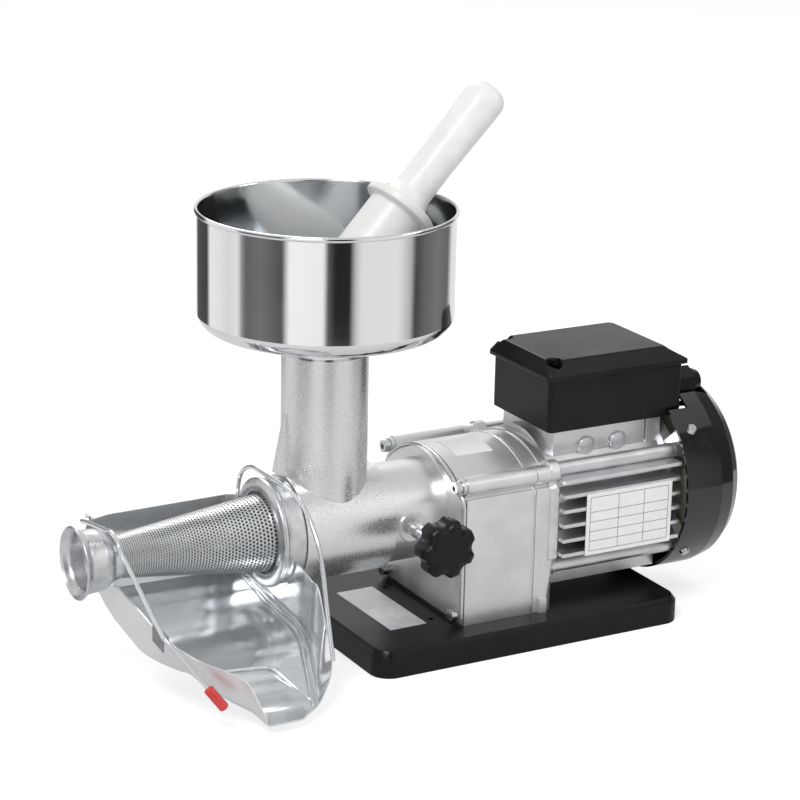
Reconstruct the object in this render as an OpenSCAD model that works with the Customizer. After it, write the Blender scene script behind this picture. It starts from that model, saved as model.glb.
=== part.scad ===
/* [Base] */
// Length of the base tray along the machine
base_l = 242; // [200:1:300]
// Width of the base tray
base_w = 148; // [130:1:200]
// Height of the base tray
base_h = 18.5; // [16:0.5:30]
// Corner radius of the base tray
base_r = 14; // [8:1:20]
// Wall of the base tray
base_wall = 3; // [2:0.5:4]

/* [Gearbox] */
// Height of the motor and screw axis above the table
axis_h = 88.5; // [86:0.5:110]
// Half width of the gearbox
box_half = 54.4; // [52:0.2:60]
// Front face of the gearbox, measured from the middle of the base
box_x0 = -49; // [-55:0.5:-45]
// Depth of the gearbox housing
box_len = 57; // [57:0.5:70]
// Wall of the gearbox castings
box_wall = 4.5; // [4:0.1:5]
// Radius of the arched top of the gearbox
arch_r = 73; // [70:0.5:78]
// Thickness of the rear cover that carries the motor
cover_len = 14; // [14:0.5:20]
// Outer radius of the neck
neck_r = 34; // [32:0.2:36]
// Length of the neck in front of the gearbox
neck_len = 40.5; // [38:0.5:50]
// Radius of the neck's front bore
neck_bore = 26; // [24:0.1:27]
// Depth of the neck's front bore
neck_bore_len = 22.5; // [20:0.5:24]

/* [Gears] */
// Distance between the two shaft axes
gear_gap = 35; // [35:1:35]
// Teeth of the motor pinion
pinion1_z = 12; // [12:1:12]
// Teeth of the wheel on the middle shaft
wheel1_z = 58; // [58:1:58]
// Teeth of the pinion on the middle shaft
pinion2_z = 11; // [11:1:11]
// Teeth of the output wheel
wheel2_z = 45; // [45:1:45]
// Play between meshing teeth
backlash = 0.25; // [0.15:0.05:0.3]
// Face width of the first pair
face1 = 10; // [8:0.5:10]
// Face width of the second pair
face2 = 16; // [12:0.5:16]

/* [Motor] */
// Outer radius of the fan cover
cover_r = 70; // [66:0.5:74]
// Front edge of the fan cover
cover_x0 = 123; // [122:0.5:126]
// Length of the fan cover
fan_cover_len = 52; // [48:0.5:60]
// Wall of the fan cover
fan_wall = 2.2; // [1.6:0.1:3]
// Root radius of the finned housing
motor_r = 47; // [46:0.5:49]
// Bore radius of the finned housing
motor_bore = 43; // [42:0.5:44]
// Half width over the fin tips
fin_half = 62; // [58:0.5:64]
// Thickness of a fin
fin_t = 2.6; // [1.6:0.2:3.2]
// Distance between fins
fin_pitch = 10.6; // [9:0.2:11]
// Radius of the rotor
rotor_r = 25; // [22:0.5:28]
// Length of the rotor and stator stacks
stack_len = 60; // [50:1:64]
// Radius of the motor shaft
shaft_r = 7.5; // [7:0.5:8]

/* [Switch box] */
// Length of the switch box
sbox_l = 109; // [100:1:112]
// Width of the switch box
sbox_w = 76; // [70:1:90]
// Height of the switch box body
sbox_h = 37; // [34:0.5:45]
// Wall of the switch box
sbox_wall = 2.5; // [2:0.1:3]
// Height of the sloping lid
lid_h = 13.5; // [10:0.5:18]
// Underside of the switch box above the table
sbox_z = 140; // [139:0.5:146]

/* [Press body] */
// Axis of the feed tube, measured from the middle of the base
tube_x = -126; // [-130:0.5:-124]
// Outer radius of the feed tube
tube_r = 29; // [27:0.5:31]
// Bore radius of the feed tube
tube_bore = 25; // [22:0.5:26]
// Top of the feed tube above the table
tube_top = 208.7; // [190:0.5:230]
// Outer radius of the barrel
barrel_r = 37; // [36:0.5:38]
// Bore radius of the barrel
barrel_bore = 27; // [25:0.5:28]
// Front face of the barrel
barrel_x0 = -165.3; // [-168:0.1:-164]
// Rear face of the barrel
barrel_x1 = -89.7; // [-92:0.1:-89.7]

/* [Strainer] */
// Radius of the strainer at its large end
cone_r1 = 26.5; // [25:0.1:26.5]
// Radius of the strainer at its small end
cone_r0 = 13.8; // [12:0.1:15]
// Small end of the strainer
cone_x0 = -278; // [-290:0.5:-260]
// Thickness of the strainer sheet
cone_t = 1; // [0.8:0.1:1.4]
// Radius of a strainer hole
cone_hole = 1.3; // [0.8:0.1:1.5]
// Rings of strainer holes
cone_rings = 9; // [4:1:10]
// Holes in one ring
cone_holes = 12; // [6:1:14]
// Radius of the nozzle mouth
mouth_r = 24.5; // [22:0.5:28]
// End of the nozzle
mouth_x = -305.6; // [-315:0.2:-300]

/* [Bowl and pestle] */
// Radius of the bowl wall
bowl_r = 84.5; // [75:0.5:95]
// Rim of the bowl above the table
bowl_top = 305.4; // [295:0.5:320]
// Height of the bowl's cylindrical wall
bowl_wall_h = 64; // [55:0.5:75]
// Thickness of the bowl's sheet
bowl_t = 1.2; // [0.8:0.1:1.5]
// Radius of the bowl's spigot
spigot_r = 26.5; // [24:0.1:27]
// Lean of the pestle from upright
pestle_lean = 44.6; // [40:0.1:44.6]
// Radius of the pestle's handle at its end
handle_r = 14.5; // [12:0.5:15]
// Length of the pestle's handle
handle_l = 103; // [90:1:120]
// Radius of the pestle's flange
flange_r = 25.5; // [22:0.5:26]
// Radius of the pestle's tamper
tamper_r = 20; // [16:0.5:20]

/* [Drip chute] */
// Thickness of the chute's sheet
chute_t = 1.2; // [1:0.1:1.5]
// Radius of the bail wires
wire_r = 1.5; // [1.2:0.1:1.8]

/* [Hidden] */
$fn = 48;
// Small length that keeps cuts clear of faces
e = 0.01;
// Gap between pieces that seat against each other
seat = 0.3;
// Radial clearance of a running fit
run = 0.05;

// Gearbox
split_x = box_x0 + box_len;
cover_x1 = split_x + cover_len;
arch_z = axis_h - (arch_r - 42.3);
boss_y = box_half - 4.9;
boss_z = axis_h + 28.5;
boss_r = 6.3;
lay_z = axis_h - gear_gap;
neck_x0 = box_x0 - neck_len;
bearing_r = 20;
bearing_w = 12;
seal_w = 7;
seal_x0 = neck_x0 + neck_bore_len;
bearing_x0 = seal_x0 + seal_w + 0.5;
bearing_x1 = bearing_x0 + bearing_w + 0.5;
out_boss_x1 = bearing_x1 + bearing_w;
out_shaft_r = 8.5;
lay_bearing_r = 13;
lay_bearing_w = 8;
lay_r = 5;
wheel2_x0 = out_boss_x1 + 4;
wheel1_x0 = wheel2_x0 + face2 + 3;
lay_x0 = box_x0 + 7;
lay_x1 = split_x + 1 + lay_bearing_w;
motor_bearing_r = 17.5;
motor_bearing_w = 11;
pressure = 20;
shift = 0.4;
module1 = 2 * gear_gap / (pinion1_z + wheel1_z);
module2 = 2 * gear_gap / (pinion2_z + wheel2_z);

// Screws
m5_r = 2.5;
m6_r = 3;
m4_r = 2;
foot_x = [box_x0 + 14, box_x0 + box_len - 12];
foot_y = box_half - 14;

// Motor
motor_x0 = cover_x1 + 4.3;
motor_x1 = cover_x0 - 1;
stack_x0 = 45;
rod_y = 48;
rod_z = [axis_h + 30, axis_h - 40];
rod_boss = 5;
shield_t = 8;
nut_x0 = motor_x1 + 2.5;
rear_bearing_x0 = motor_x1 + 2;
fan_x0 = rear_bearing_x0 + motor_bearing_w + 6;
fan_w = 16;
shaft_x1 = fan_x0 + fan_w;
cover_screw_a = [40, 140, 220, 320];
cover_screw_x = motor_x1 + shield_t + 4;

// Switch box
sbox_x0 = 27;
sbox_x1 = sbox_x0 + sbox_l;
sbox_top = sbox_z + sbox_h;
tbase_x0 = 34;
tbase_x1 = 109;
tbase_half = 33;
gland_y = -16.4;
gland_z = sbox_z + 15.8;
gland_bore = 4;
rocker_x = 75;
rocker_z = sbox_z + sbox_h / 2;
lid_lip = 3;

// Press body
nose_r = 31.5;
lug_x0 = barrel_x0 + 3.8;
nose_len = 9.7;
ring_x0 = -173.6;
ring_x1 = barrel_x0 + nose_len - seat;
ring_r = 36;
rib_x0 = ring_x0 + 10.6;
spig_r = neck_bore - run;
spig_x1 = seal_x0 - 1;
shank_r = 12;
knob_x = neck_x0 + 13;
knob_y0 = neck_r + 33;
knob_r = 20;
knob_h = 22;
sleeve_r = 5.7;

// Strainer
flange_x0 = ring_x0 + 4.2;
flange_x1 = barrel_x0 - 0.05;
end_len = 6;
nozzle_t = 1.4;
neckend_x = cone_x0;

// Bowl
bowl_corner_z = bowl_top - bowl_wall_h;
sbox_mid = (sbox_x0 + sbox_x1) / 2;
post_in = 6;
spigot_top = tube_top + 2.6;
spigot_z0 = tube_top - 18;
tamper_l = 26;
flange_at = 87;
handle_end = flange_at + handle_l;
pestle_z = bowl_top - 69.4;
pestle_turn = 4.9;

// Chute sections along Y: y, left top, left bottom, right bottom and right top, each as x and z
chute_rows = [
    [ 46, -278, 93, -272, 48.5, -166, 47, -164.5, 99],
    [ 34, -278.5, 88, -273, 46, -165.5, 45, -164, 97],
    [ 18, -278.5, 80, -275, 43, -165, 41.5, -163.5, 92],
    [  0, -278.5, 74, -276, 40, -164.5, 38, -163, 86],
    [-20, -278.5, 70, -276, 37, -164, 35.5, -163, 80],
    [-40, -278.5, 68, -275, 34, -164, 33, -163.5, 76],
    [-52, -278.5, 66.5, -270, 32, -165.5, 30.5, -165, 75],
    [-62, -278.5, 65, -264, 30.5, -168, 26.5, -166, 74],
    [-73, -277.5, 63, -256, 29, -172, 22, -167.5, 73],
    [-82, -274, 58.5, -248, 22, -175, 18, -167, 54],
    [-91, -262, 49.5, -239, 15.5, -178, 14.5, -166.5, 31],
    [-106, -234, 34.5, -229, 10, -183.5, 9.5, -181, 13],
    [-119, -226, 14, -225, 8, -200, 8, -199, 10.5]];
chute_back_y = 46.4;
chute_notch_r = 19;
// Rear wire hanger, from the back wall over the barrel to the wing's lower corner
hang_x = -166;
hang_top = axis_h + ring_r - 0.4 + wire_r + seat;
hang_points = [[48.2, 88], [48.2, 104], [42, 117], [28, 125], [12, hang_top], [-12, hang_top + 0.6],
    [-32, hang_top], [-50, 121], [-65.6, 107.5], [-75.3, 92.5], [-80.5, 74], [-86.5, 52], [-93, 31]];
// Front wire bail, a lever that closes over the nozzle
bail_x = -279.6;
bail_arc = 15.4 + wire_r + 2 * seat;
bail_pivot = [chute_back_y + wire_r + 1, axis_h + 9];
bail_hook = [-79.5, 64];
tab_z = bail_hook[1] - wire_r - 0.3;
grip_start = [-257, -100, 31];
grip_end = [-249, -105.5, 19.5];

// Shapes that repeat

module along_x(x0, len) {
    translate([x0, 0, 0]) rotate([90, 0, 90]) linear_extrude(len) children();
}

module rod_x(x0, x1, r, y = 0, z = axis_h) {
    translate([x0, y, z]) rotate([0, 90, 0]) cylinder(h = x1 - x0, r = r);
}

module ring_x(x0, x1, r, bore, y = 0, z = axis_h) {
    difference() {
        rod_x(x0, x1, r, y, z);
        rod_x(x0 - 1, x1 + 1, bore, y, z);
    }
}

// Solid of revolution about the machine axis, points are [x, radius]
module turned(points) {
    translate([0, 0, axis_h]) rotate([0, 90, 0]) rotate([0, 0, 180])
        rotate_extrude($fn = 96) rotate([0, 0, 90]) mirror([0, 1]) polygon(points);
}

module round_rect(l, w, r) {
    square([l - 2 * r, w], center = true);
    square([l, w - 2 * r], center = true);
    for (x = [-1, 1], y = [-1, 1]) translate([x * (l / 2 - r), y * (w / 2 - r)]) circle(r);
}

// Half angle of a tooth at radius rho, for an involute of base radius rb
function inv(a) = tan(a) * 180 / PI - a;
function half_tooth(m, z, x, rho) =
    let (r = m * z / 2, rb = r * cos(pressure), s = m * (PI / 2 + 2 * x * tan(pressure)) - backlash / 2)
    s / (2 * r) * 180 / PI + inv(pressure) - inv(rho > rb ? acos(rb / rho) : 0);

// Outline of a spur gear, the first tooth points along angle turn
module gear_outline(m, z, x, turn) {
    rb = m * z / 2 * cos(pressure);
    ra = m * (z / 2 + 1 + x);
    rf = m * (z / 2 - 1.25 + x);
    r0 = max(rb, rf);
    steps = 4;
    flank = [for (i = [0:steps]) let (rho = r0 + (ra - r0) * i / steps) [rho, half_tooth(m, z, x, rho)]];
    tooth = concat([[rf, flank[0][1]]], flank);
    points = [for (k = [0:z - 1]) let (c = turn + 360 * k / z)
        each concat([for (p = tooth) p[0] * [cos(c - p[1]), sin(c - p[1])]],
            [for (j = [len(tooth) - 1:-1:0]) tooth[j][0] * [cos(c + tooth[j][1]), sin(c + tooth[j][1])]])];
    polygon(points);
}

// Round wire along a list of points
function unit(v) = v / norm(v);
module wire(points, r, sides = 8) {
    n = len(points);
    dirs = [for (i = [0:n - 1]) unit(points[min(i + 1, n - 1)] - points[max(i - 1, 0)])];
    rings = [for (i = [0:n - 1]) let (u = unit(cross(dirs[i], [1, 0.02, 0.03])), v = cross(dirs[i], u))
        for (k = [0:sides - 1]) points[i] + r * (cos(360 * k / sides) * u + sin(360 * k / sides) * v)];
    sides_f = [for (i = [0:n - 2], k = [0:sides - 1]) let (a = i * sides + k, b = i * sides + (k + 1)
        % sides)
        [a, a + sides, b + sides, b]];
    polyhedron(rings, concat(sides_f, [[for (k = [0:sides - 1]) k]],
        [[for (k = [sides - 1:-1:0]) (n - 1) * sides + k]]));
}

// Base

module base_tray() color("#2b2c2e") {
    difference() {
        union() {
            linear_extrude(base_h - 4) round_rect(base_l, base_w, base_r);
            hull() {
                translate([0, 0, base_h - 4 - e]) linear_extrude(e) round_rect(base_l, base_w, base_r,
                    $fn = 32);
                translate([0, 0, base_h - 0.5]) linear_extrude(0.5)
                    round_rect(base_l - 6, base_w - 6, base_r - 3, $fn = 32);
            }
        }
        translate([0, 0, -1]) linear_extrude(base_h - base_wall + 1)
            round_rect(base_l - 2 * base_wall, base_w - 2 * base_wall, base_r - base_wall);
        for (x = foot_x, y = [-foot_y, foot_y]) translate([x, y, -1]) cylinder(h = base_h + 2,
            r = m6_r + seat);
        for (y = [-foot_y + 8, foot_y - 8]) translate([box_x0 - 10, y, -1]) cylinder(h = base_h + 2,
            r = m4_r);
    }
    intersection() {
        linear_extrude(base_h - 1) round_rect(base_l - 2, base_w - 2, base_r - 1);
        difference() {
            union() {
                translate([-base_l / 2, -1.5, 0]) cube([base_l, 3, base_h - base_wall + e]);
                for (x = [-62, 62]) translate([x - 1.5, -base_w / 2, 0]) cube([3, base_w,
                    base_h - base_wall + e]);
                translate([-12, -12, 0]) cube([24, 24, base_h - base_wall + e]);
                for (x = foot_x, y = [-foot_y, foot_y])
                    translate([x, y, 0]) cylinder(h = base_h - base_wall + e, r = 9);
            }
            for (x = foot_x, y = [-foot_y, foot_y]) translate([x, y, -1]) {
                cylinder(h = base_h + 2, r = m6_r + seat);
                cylinder(h = 8, r = 6);
            }
        }
    }
}

module base_screws() color("#b8babc") for (x = foot_x, y = [-foot_y, foot_y]) translate([x, y, 0]) {
    translate([0, 0, 2.6]) cylinder(h = 4.4, r = 5);
    translate([0, 0, 7 - e]) cylinder(h = base_h + 1.5, r = m6_r);
}

// Gearbox

module box_outline(inset = 0) {
    translate([-box_half + inset, base_h + inset])
        square([2 * (box_half - inset), axis_h + 20 - base_h - inset]);
    intersection() {
        translate([0, arch_z]) circle(arch_r - inset, $fn = 96);
        translate([-box_half + inset, axis_h - 10]) square([2 * (box_half - inset), 90]);
    }
}

module corner_bosses(r) {
    for (y = [-boss_y, boss_y]) translate([y, boss_z]) circle(r);
}

module gearbox_housing() color("#b9babb") {
    difference() {
        union() {
            along_x(box_x0 + 3, box_len - 3) {
                box_outline();
                corner_bosses(boss_r);
            }
            along_x(box_x0, 3 + e) {
                box_outline(2.5);
                corner_bosses(boss_r - 1);
            }
            rod_x(box_x0 - 3, box_x0 + 1, neck_r + 8);
            rod_x(neck_x0, box_x0, neck_r);
            translate([knob_x, -neck_r - 1.5, axis_h]) rotate([-90, 0, 0]) cylinder(h = 12, r = 10);
        }
        difference() {
            along_x(box_x0 + 6, box_len) box_outline(box_wall);
            rod_x(box_x0, out_boss_x1, 27);
            rod_x(box_x0, lay_x0 + lay_bearing_w, 17, 0, lay_z);
            for (x = foot_x, y = [-foot_y, foot_y])
                translate([x, y, base_h]) cylinder(h = box_wall + 9, r = 8);
        }
        rod_x(neck_x0 - 1, seal_x0, neck_bore);
        rod_x(seal_x0 - 1, out_boss_x1 + 1, bearing_r);
        rod_x(lay_x0, lay_x0 + lay_bearing_w + 1, lay_bearing_r, 0, lay_z);
        for (x = foot_x, y = [-foot_y, foot_y])
            translate([x, y, base_h - 1]) cylinder(h = 11, r = m6_r + run);
        for (y = [-boss_y, boss_y]) rod_x(box_x0 - 1, split_x + 1, m5_r + seat / 2, y, boss_z);
        for (y = [-48, 48]) rod_x(box_x0 - 1, split_x + 1, m5_r + seat / 2, y, base_h + 7.5);
        translate([knob_x, -neck_r - 3, axis_h]) rotate([-90, 0, 0]) cylinder(h = 14, r = 4.1);
    }
}

module gearbox_cover() color("#aeafb1") {
    difference() {
        union() {
            along_x(split_x + seat, cover_len - seat) {
                box_outline();
                corner_bosses(boss_r);
            }
            rod_x(cover_x1 - 3, cover_x1 + 4, 64);
            for (y = [-rod_y, rod_y], z = rod_z) rod_x(cover_x1 - 2, cover_x1 + 4, rod_boss + 1, y, z);
            translate([cover_x1 - 10, -box_half - 3, base_h]) cube([6, 2 * box_half + 6, 11]);
        }
        rod_x(cover_x1 - 1.5, cover_x1 + 5, motor_bore);
        rod_x(split_x, split_x + 2 + motor_bearing_w, motor_bearing_r);
        rod_x(split_x - 1, cover_x1 + 5, 10);
        rod_x(split_x - 1, lay_x1 + 0.5, lay_bearing_r, 0, lay_z);
        for (y = [-boss_y, boss_y]) rod_x(split_x - 1, split_x + 10, m5_r - 0.1, y, boss_z);
        for (y = [-48, 48]) rod_x(split_x - 1, split_x + 10, m5_r - 0.1, y, base_h + 7.5);
        for (y = [-rod_y, rod_y], z = rod_z) rod_x(cover_x1 - 8, cover_x1 + 5, m5_r + seat / 2, y, z);
    }
}

module cap_screw_x(x_head, x_end, y, z) {
    difference() {
        union() {
            rod_x(x_head, x_head + 5, 4.4, y, z);
            rod_x(x_head + 5 - e, x_end, m5_r - 0.15, y, z);
        }
        translate([x_head - 1, y, z]) rotate([0, 90, 0]) cylinder(h = 3.5, r = 2.3, $fn = 6);
    }
}

module housing_screws() color("#c6c8ca") {
    for (y = [-boss_y, boss_y]) cap_screw_x(box_x0 - 5.05, split_x + 8.5, y, boss_z);
    for (y = [-48, 48]) cap_screw_x(box_x0 - 5.05, split_x + 8.5, y, base_h + 7.5);
}

// Ball bearing as two races and its balls
module bearing(x0, w, r, bore, z) {
    wall = (r - bore) * 0.28;
    mid = (r + bore) / 2;
    ring_x(x0, x0 + w, r, r - wall, 0, z);
    ring_x(x0, x0 + w, bore + wall, bore, 0, z);
    for (a = [0:45:359]) translate([x0 + w / 2, mid * cos(a), z + mid * sin(a)]) sphere(r = (r - bore)
        * 0.21, $fn = 24);
}

module output_bearings() color("#d0d2d4") {
    bearing(bearing_x0, bearing_w, bearing_r - run, out_shaft_r + run, axis_h);
    bearing(bearing_x1, bearing_w, bearing_r - run, out_shaft_r + run, axis_h);
}

module output_seal() color("#3a2a20")
    ring_x(seal_x0 + 0.2, seal_x0 + seal_w, bearing_r - run, out_shaft_r + run);

module output_shaft() color("#a8aaac") {
    difference() {
        union() {
            rod_x(spig_x1 - 15, spig_x1 - 1, 14);
            rod_x(spig_x1 - 1 - e, wheel2_x0 + face2 + 1, out_shaft_r);
        }
        translate([spig_x1 - 16, -6, axis_h - 6]) cube([13, 12, 12]);
    }
}

module output_wheel() color("#8f9193") difference() {
    along_x(wheel2_x0, face2) translate([0, axis_h])
        gear_outline(module2, wheel2_z, -shift, -90 + 180 / wheel2_z);
    rod_x(wheel2_x0 - 1, wheel2_x0 + face2 + 1, out_shaft_r + run);
}

module layshaft() color("#9b9da0") {
    rod_x(lay_x0 + 0.3, wheel2_x0 - 1 + e, lay_r, 0, lay_z);
    along_x(wheel2_x0 - 1, face2 + 2) translate([0, lay_z]) gear_outline(module2, pinion2_z, shift, 90);
    rod_x(wheel2_x0 + face2 + 1 - e, lay_x1 - 0.3, lay_r, 0, lay_z);
}

module layshaft_wheel() color("#8a8c8f") difference() {
    along_x(wheel1_x0, face1) translate([0, lay_z]) gear_outline(module1, wheel1_z, -shift,
        90 + 180 / wheel1_z);
    rod_x(wheel1_x0 - 1, wheel1_x0 + face1 + 1, lay_r + run, 0, lay_z);
    for (a = [0:60:359]) rod_x(wheel1_x0 - 1, wheel1_x0 + face1 + 1, 5, 18 * cos(a), lay_z + 18 * sin(a));
}

module layshaft_bearings() color("#d0d2d4") {
    bearing(lay_x0, lay_bearing_w, lay_bearing_r - run, lay_r + run, lay_z);
    bearing(lay_x1 - lay_bearing_w, lay_bearing_w, lay_bearing_r - run, lay_r + run, lay_z);
}

// Motor

module fin_outline() {
    circle(motor_r, $fn = 96);
    for (i = [-3:2], s = [-1, 1]) translate([s * fin_half / 2, (i + 0.27) * fin_pitch])
        square([fin_half, fin_t], center = true);
    for (i = [-3:3]) translate([i * fin_pitch - fin_t / 2, -fin_half + 2]) square([fin_t, fin_half]);
    for (y = [-rod_y, rod_y], z = rod_z) translate([0, z - axis_h]) {
        translate([y, 0]) circle(rod_boss);
        polygon([[0, 10 * sign(axis_h - z)], [y, rod_boss - 1], [y, -rod_boss + 1]]);
    }
}

module motor_housing() color("#b4b6b8") difference() {
    union() {
        along_x(motor_x0, motor_x1 - motor_x0) translate([0, axis_h]) fin_outline();
        along_x(tbase_x1 + 1, motor_x1 - tbase_x1 - 1) for (i = [-3:3])
            translate([i * fin_pitch - fin_t / 2, axis_h]) square([fin_t, 50]);
    }
    rod_x(motor_x0 - 1, motor_x1 + 1, motor_bore);
    for (y = [-rod_y, rod_y], z = rod_z) rod_x(motor_x0 - 1, motor_x1 + 1, m5_r + seat / 2, y, z);
}

module stator_core() color("#6f7173") difference() {
    rod_x(stack_x0, stack_x0 + stack_len, motor_bore - run);
    rod_x(stack_x0 - 1, stack_x0 + stack_len + 1, rotor_r + 0.5);
}

module stator_windings() color("#a8622c") {
    for (x = [stack_x0 - 11.05, stack_x0 + stack_len + 0.05]) ring_x(x, x + 11, motor_bore - 3,
        rotor_r + 4);
}

module rotor_shaft() color("#a6a8aa") {
    along_x(wheel1_x0 - 0.5, face1 + 2) translate([0, axis_h]) gear_outline(module1, pinion1_z, shift, -90);
    rod_x(wheel1_x0 + face1 + 1.5 - e, split_x + 1.5, 5);
    rod_x(split_x + 1.5 - e, shaft_x1, shaft_r);
}

module rotor_core() color("#7f8183") difference() {
    union() {
        rod_x(stack_x0, stack_x0 + stack_len, rotor_r);
        rod_x(stack_x0 - 5, stack_x0 + stack_len + 5, rotor_r - 4);
    }
    rod_x(stack_x0 - 6, stack_x0 + stack_len + 6, shaft_r + run);
}

module motor_bearings() color("#d0d2d4") {
    bearing(split_x + 2, motor_bearing_w - 0.2, motor_bearing_r - run, shaft_r + run, axis_h);
    bearing(rear_bearing_x0, motor_bearing_w, motor_bearing_r - run, shaft_r + run, axis_h);
}

module rear_shield() color("#aeb0b2") difference() {
    union() {
        rod_x(motor_x1 + 0.05, motor_x1 + shield_t, motor_r + 3);
        rod_x(motor_x1 - 3, motor_x1 + 1, motor_bore - run);
        rod_x(motor_x1, rear_bearing_x0 + motor_bearing_w, motor_bearing_r + 4);
        for (y = [-rod_y, rod_y], z = rod_z) rod_x(motor_x1 + 0.05, motor_x1 + shield_t, rod_boss, y, z);
        for (a = cover_screw_a) translate([cover_screw_x, 0, axis_h]) rotate([a, 0, 0])
            translate([-4 - e, motor_r - 6, -5]) cube([8, cover_r - fan_wall - seat - motor_r + 6, 10]);
    }
    rod_x(rear_bearing_x0, shaft_x1, motor_bearing_r);
    rod_x(motor_x1 - 4, shaft_x1, shaft_r + 1);
    rod_x(motor_x1 + shield_t, shaft_x1, motor_r - 8);
    for (y = [-rod_y, rod_y], z = rod_z) {
        rod_x(motor_x1 - 1, shaft_x1, m5_r + seat / 2, y, z);
        rod_x(nut_x0 - 0.05, motor_x1 + shield_t - e, 4.4, y, z);
    }
    for (a = cover_screw_a) translate([cover_screw_x, 0, axis_h]) rotate([a, 0, 0]) rotate([-90, 0, 0])
        translate([0, 0, motor_r]) cylinder(h = 40, r = m4_r - run);
}

module tie_rods() color("#b0b2b4") for (y = [-rod_y, rod_y], z = rod_z) {
    rod_x(cover_x1 - 4.5, nut_x0 + e, m5_r, y, z);
    rod_x(nut_x0, nut_x0 + 4, 4.2, y, z);
}

module cooling_fan() color("#d8d4c8") difference() {
    union() {
        rod_x(fan_x0, fan_x0 + fan_w - 0.5, 13);
        rod_x(fan_x0, fan_x0 + 2, cover_r - 14);
        for (a = [0:45:359]) translate([fan_x0 + 1, 0, axis_h]) rotate([a, 0, 0])
            translate([0, 11, -0.8]) cube([fan_w - 2, cover_r - 26, 1.6]);
    }
    rod_x(fan_x0 - 1, fan_x0 + fan_w + 1, shaft_r + run);
}

module fan_cover() color("#18191b") difference() {
    x1 = cover_x0 + fan_cover_len;
    turned([[cover_x0, cover_r - fan_wall], [cover_x0, cover_r], [cover_x0 + 29, cover_r],
        [x1 - 12, cover_r - 2.5], [x1 - 5, cover_r - 7.5], [x1 - 1.2, cover_r - 12], [x1, cover_r - 15],
            [x1, 0],
        [x1 - fan_wall, 0], [x1 - fan_wall, cover_r - 16], [x1 - 6.5, cover_r - 10],
        [x1 - 13, cover_r - 5], [cover_x0 + 28, cover_r - fan_wall]]);
    translate([cover_x0 - 1, -sbox_w / 2 - 3, sbox_z - 3]) cube([sbox_x1 - cover_x0 + 4, sbox_w + 6, 40]);
    translate([cover_x0, gland_y - 13, gland_z - 13]) cube([sbox_x1 + 29 - cover_x0, 26, 40]);
    for (r = [14:8:46]) for (a = [0:90:359]) translate([x1 - fan_wall - 1, 0, axis_h]) rotate([a + 8, 0, 0])
        intersection() {
            ring_x(0, fan_wall + 2, r + 2, r - 2, 0, 0);
            rotate([90, 0, 90]) linear_extrude(fan_wall + 2)
                polygon([[0, 0], [60, 0], [60, 60 * tan(74 / 2)], [60 * cos(74), 60 * sin(74)]]);
        }
    for (a = cover_screw_a) translate([cover_screw_x, 0, axis_h]) rotate([a, 0, 0]) rotate([-90, 0, 0])
        translate([0, 0, cover_r - 8]) cylinder(h = 10, r = m4_r + seat / 2);
}

module fan_cover_screws() color("#d4d6d8")
    for (a = cover_screw_a) translate([cover_screw_x, 0, axis_h]) rotate([a, 0, 0]) rotate([-90, 0, 0]) {
        translate([0, 0, motor_r + 8]) cylinder(h = cover_r - motor_r - 8 + 0.3, r = m4_r - 2 * run);
        translate([0, 0, cover_r + 0.15]) cylinder(h = 2, r1 = 4, r2 = 3);
    }

// Switch box

module terminal_base() color("#c4c6c8") difference() {
    translate([tbase_x0, -tbase_half, axis_h + 28]) cube([tbase_x1 - tbase_x0, 2 * tbase_half,
        sbox_z - axis_h - 28 - 0.1]);
    rod_x(tbase_x0 - 1, tbase_x1 + 1, motor_r + 0.1);
    translate([tbase_x0 + 6, -tbase_half + 6, axis_h + 40]) cube([tbase_x1 - tbase_x0 - 12,
        2 * tbase_half - 12, 40]);
    for (x = [tbase_x0 + 26, tbase_x0 + 52]) translate([x, -tbase_half - 1, axis_h + 37.5 + e])
        rotate([-90, 0, 0]) ring_z(2, 7.6, 6.4);
}

module ring_z(h, r, bore) {
    difference() {
        cylinder(h = h, r = r);
        translate([0, 0, -1]) cylinder(h = h + 2, r = bore);
    }
}

module switch_box() color("#232426") difference() {
    translate([sbox_mid, 0, sbox_z]) linear_extrude(sbox_h) round_rect(sbox_l, sbox_w, 4);
    difference() {
        translate([sbox_mid, 0, sbox_z + sbox_wall]) linear_extrude(sbox_h)
            round_rect(sbox_l - 2 * sbox_wall, sbox_w - 2 * sbox_wall, 2);
        at_lid_posts() translate([0, 0, sbox_z]) cylinder(h = sbox_h, r = 4.5);
    }
    at_lid_posts() translate([0, 0, sbox_top - 14]) cylinder(h = 20, r = 1.6);
    translate([tbase_x0 + 12, -20, sbox_z - 1]) cube([50, 40, 10]);
    rod_x(sbox_x1 - 10, sbox_x1 + 1, 8, gland_y, gland_z);
    translate([rocker_x - 14, sbox_w / 2 - 5, rocker_z - 9]) cube([28, 10, 18]);
}

// Copies at the four screw posts of the switch box
module at_lid_posts() {
    for (x = [sbox_x0 + post_in, sbox_x1 - post_in], y = [-sbox_w / 2 + post_in, sbox_w / 2 - post_in])
        translate([x, y, 0]) children();
}

module lid_form(inset) {
    hull() {
        translate([sbox_mid, 0, sbox_top + seat]) linear_extrude(3)
            round_rect(sbox_l + 2 * lid_lip - 2 * inset, sbox_w + 2 * lid_lip - 2 * inset, 4, $fn = 16);
        translate([sbox_mid - 6, 0, sbox_top + lid_h - 0.5 - inset]) linear_extrude(0.5)
            round_rect(sbox_l - 16 - 2 * inset, sbox_w - 8 - 2 * inset, 4, $fn = 16);
    }
}

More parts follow.
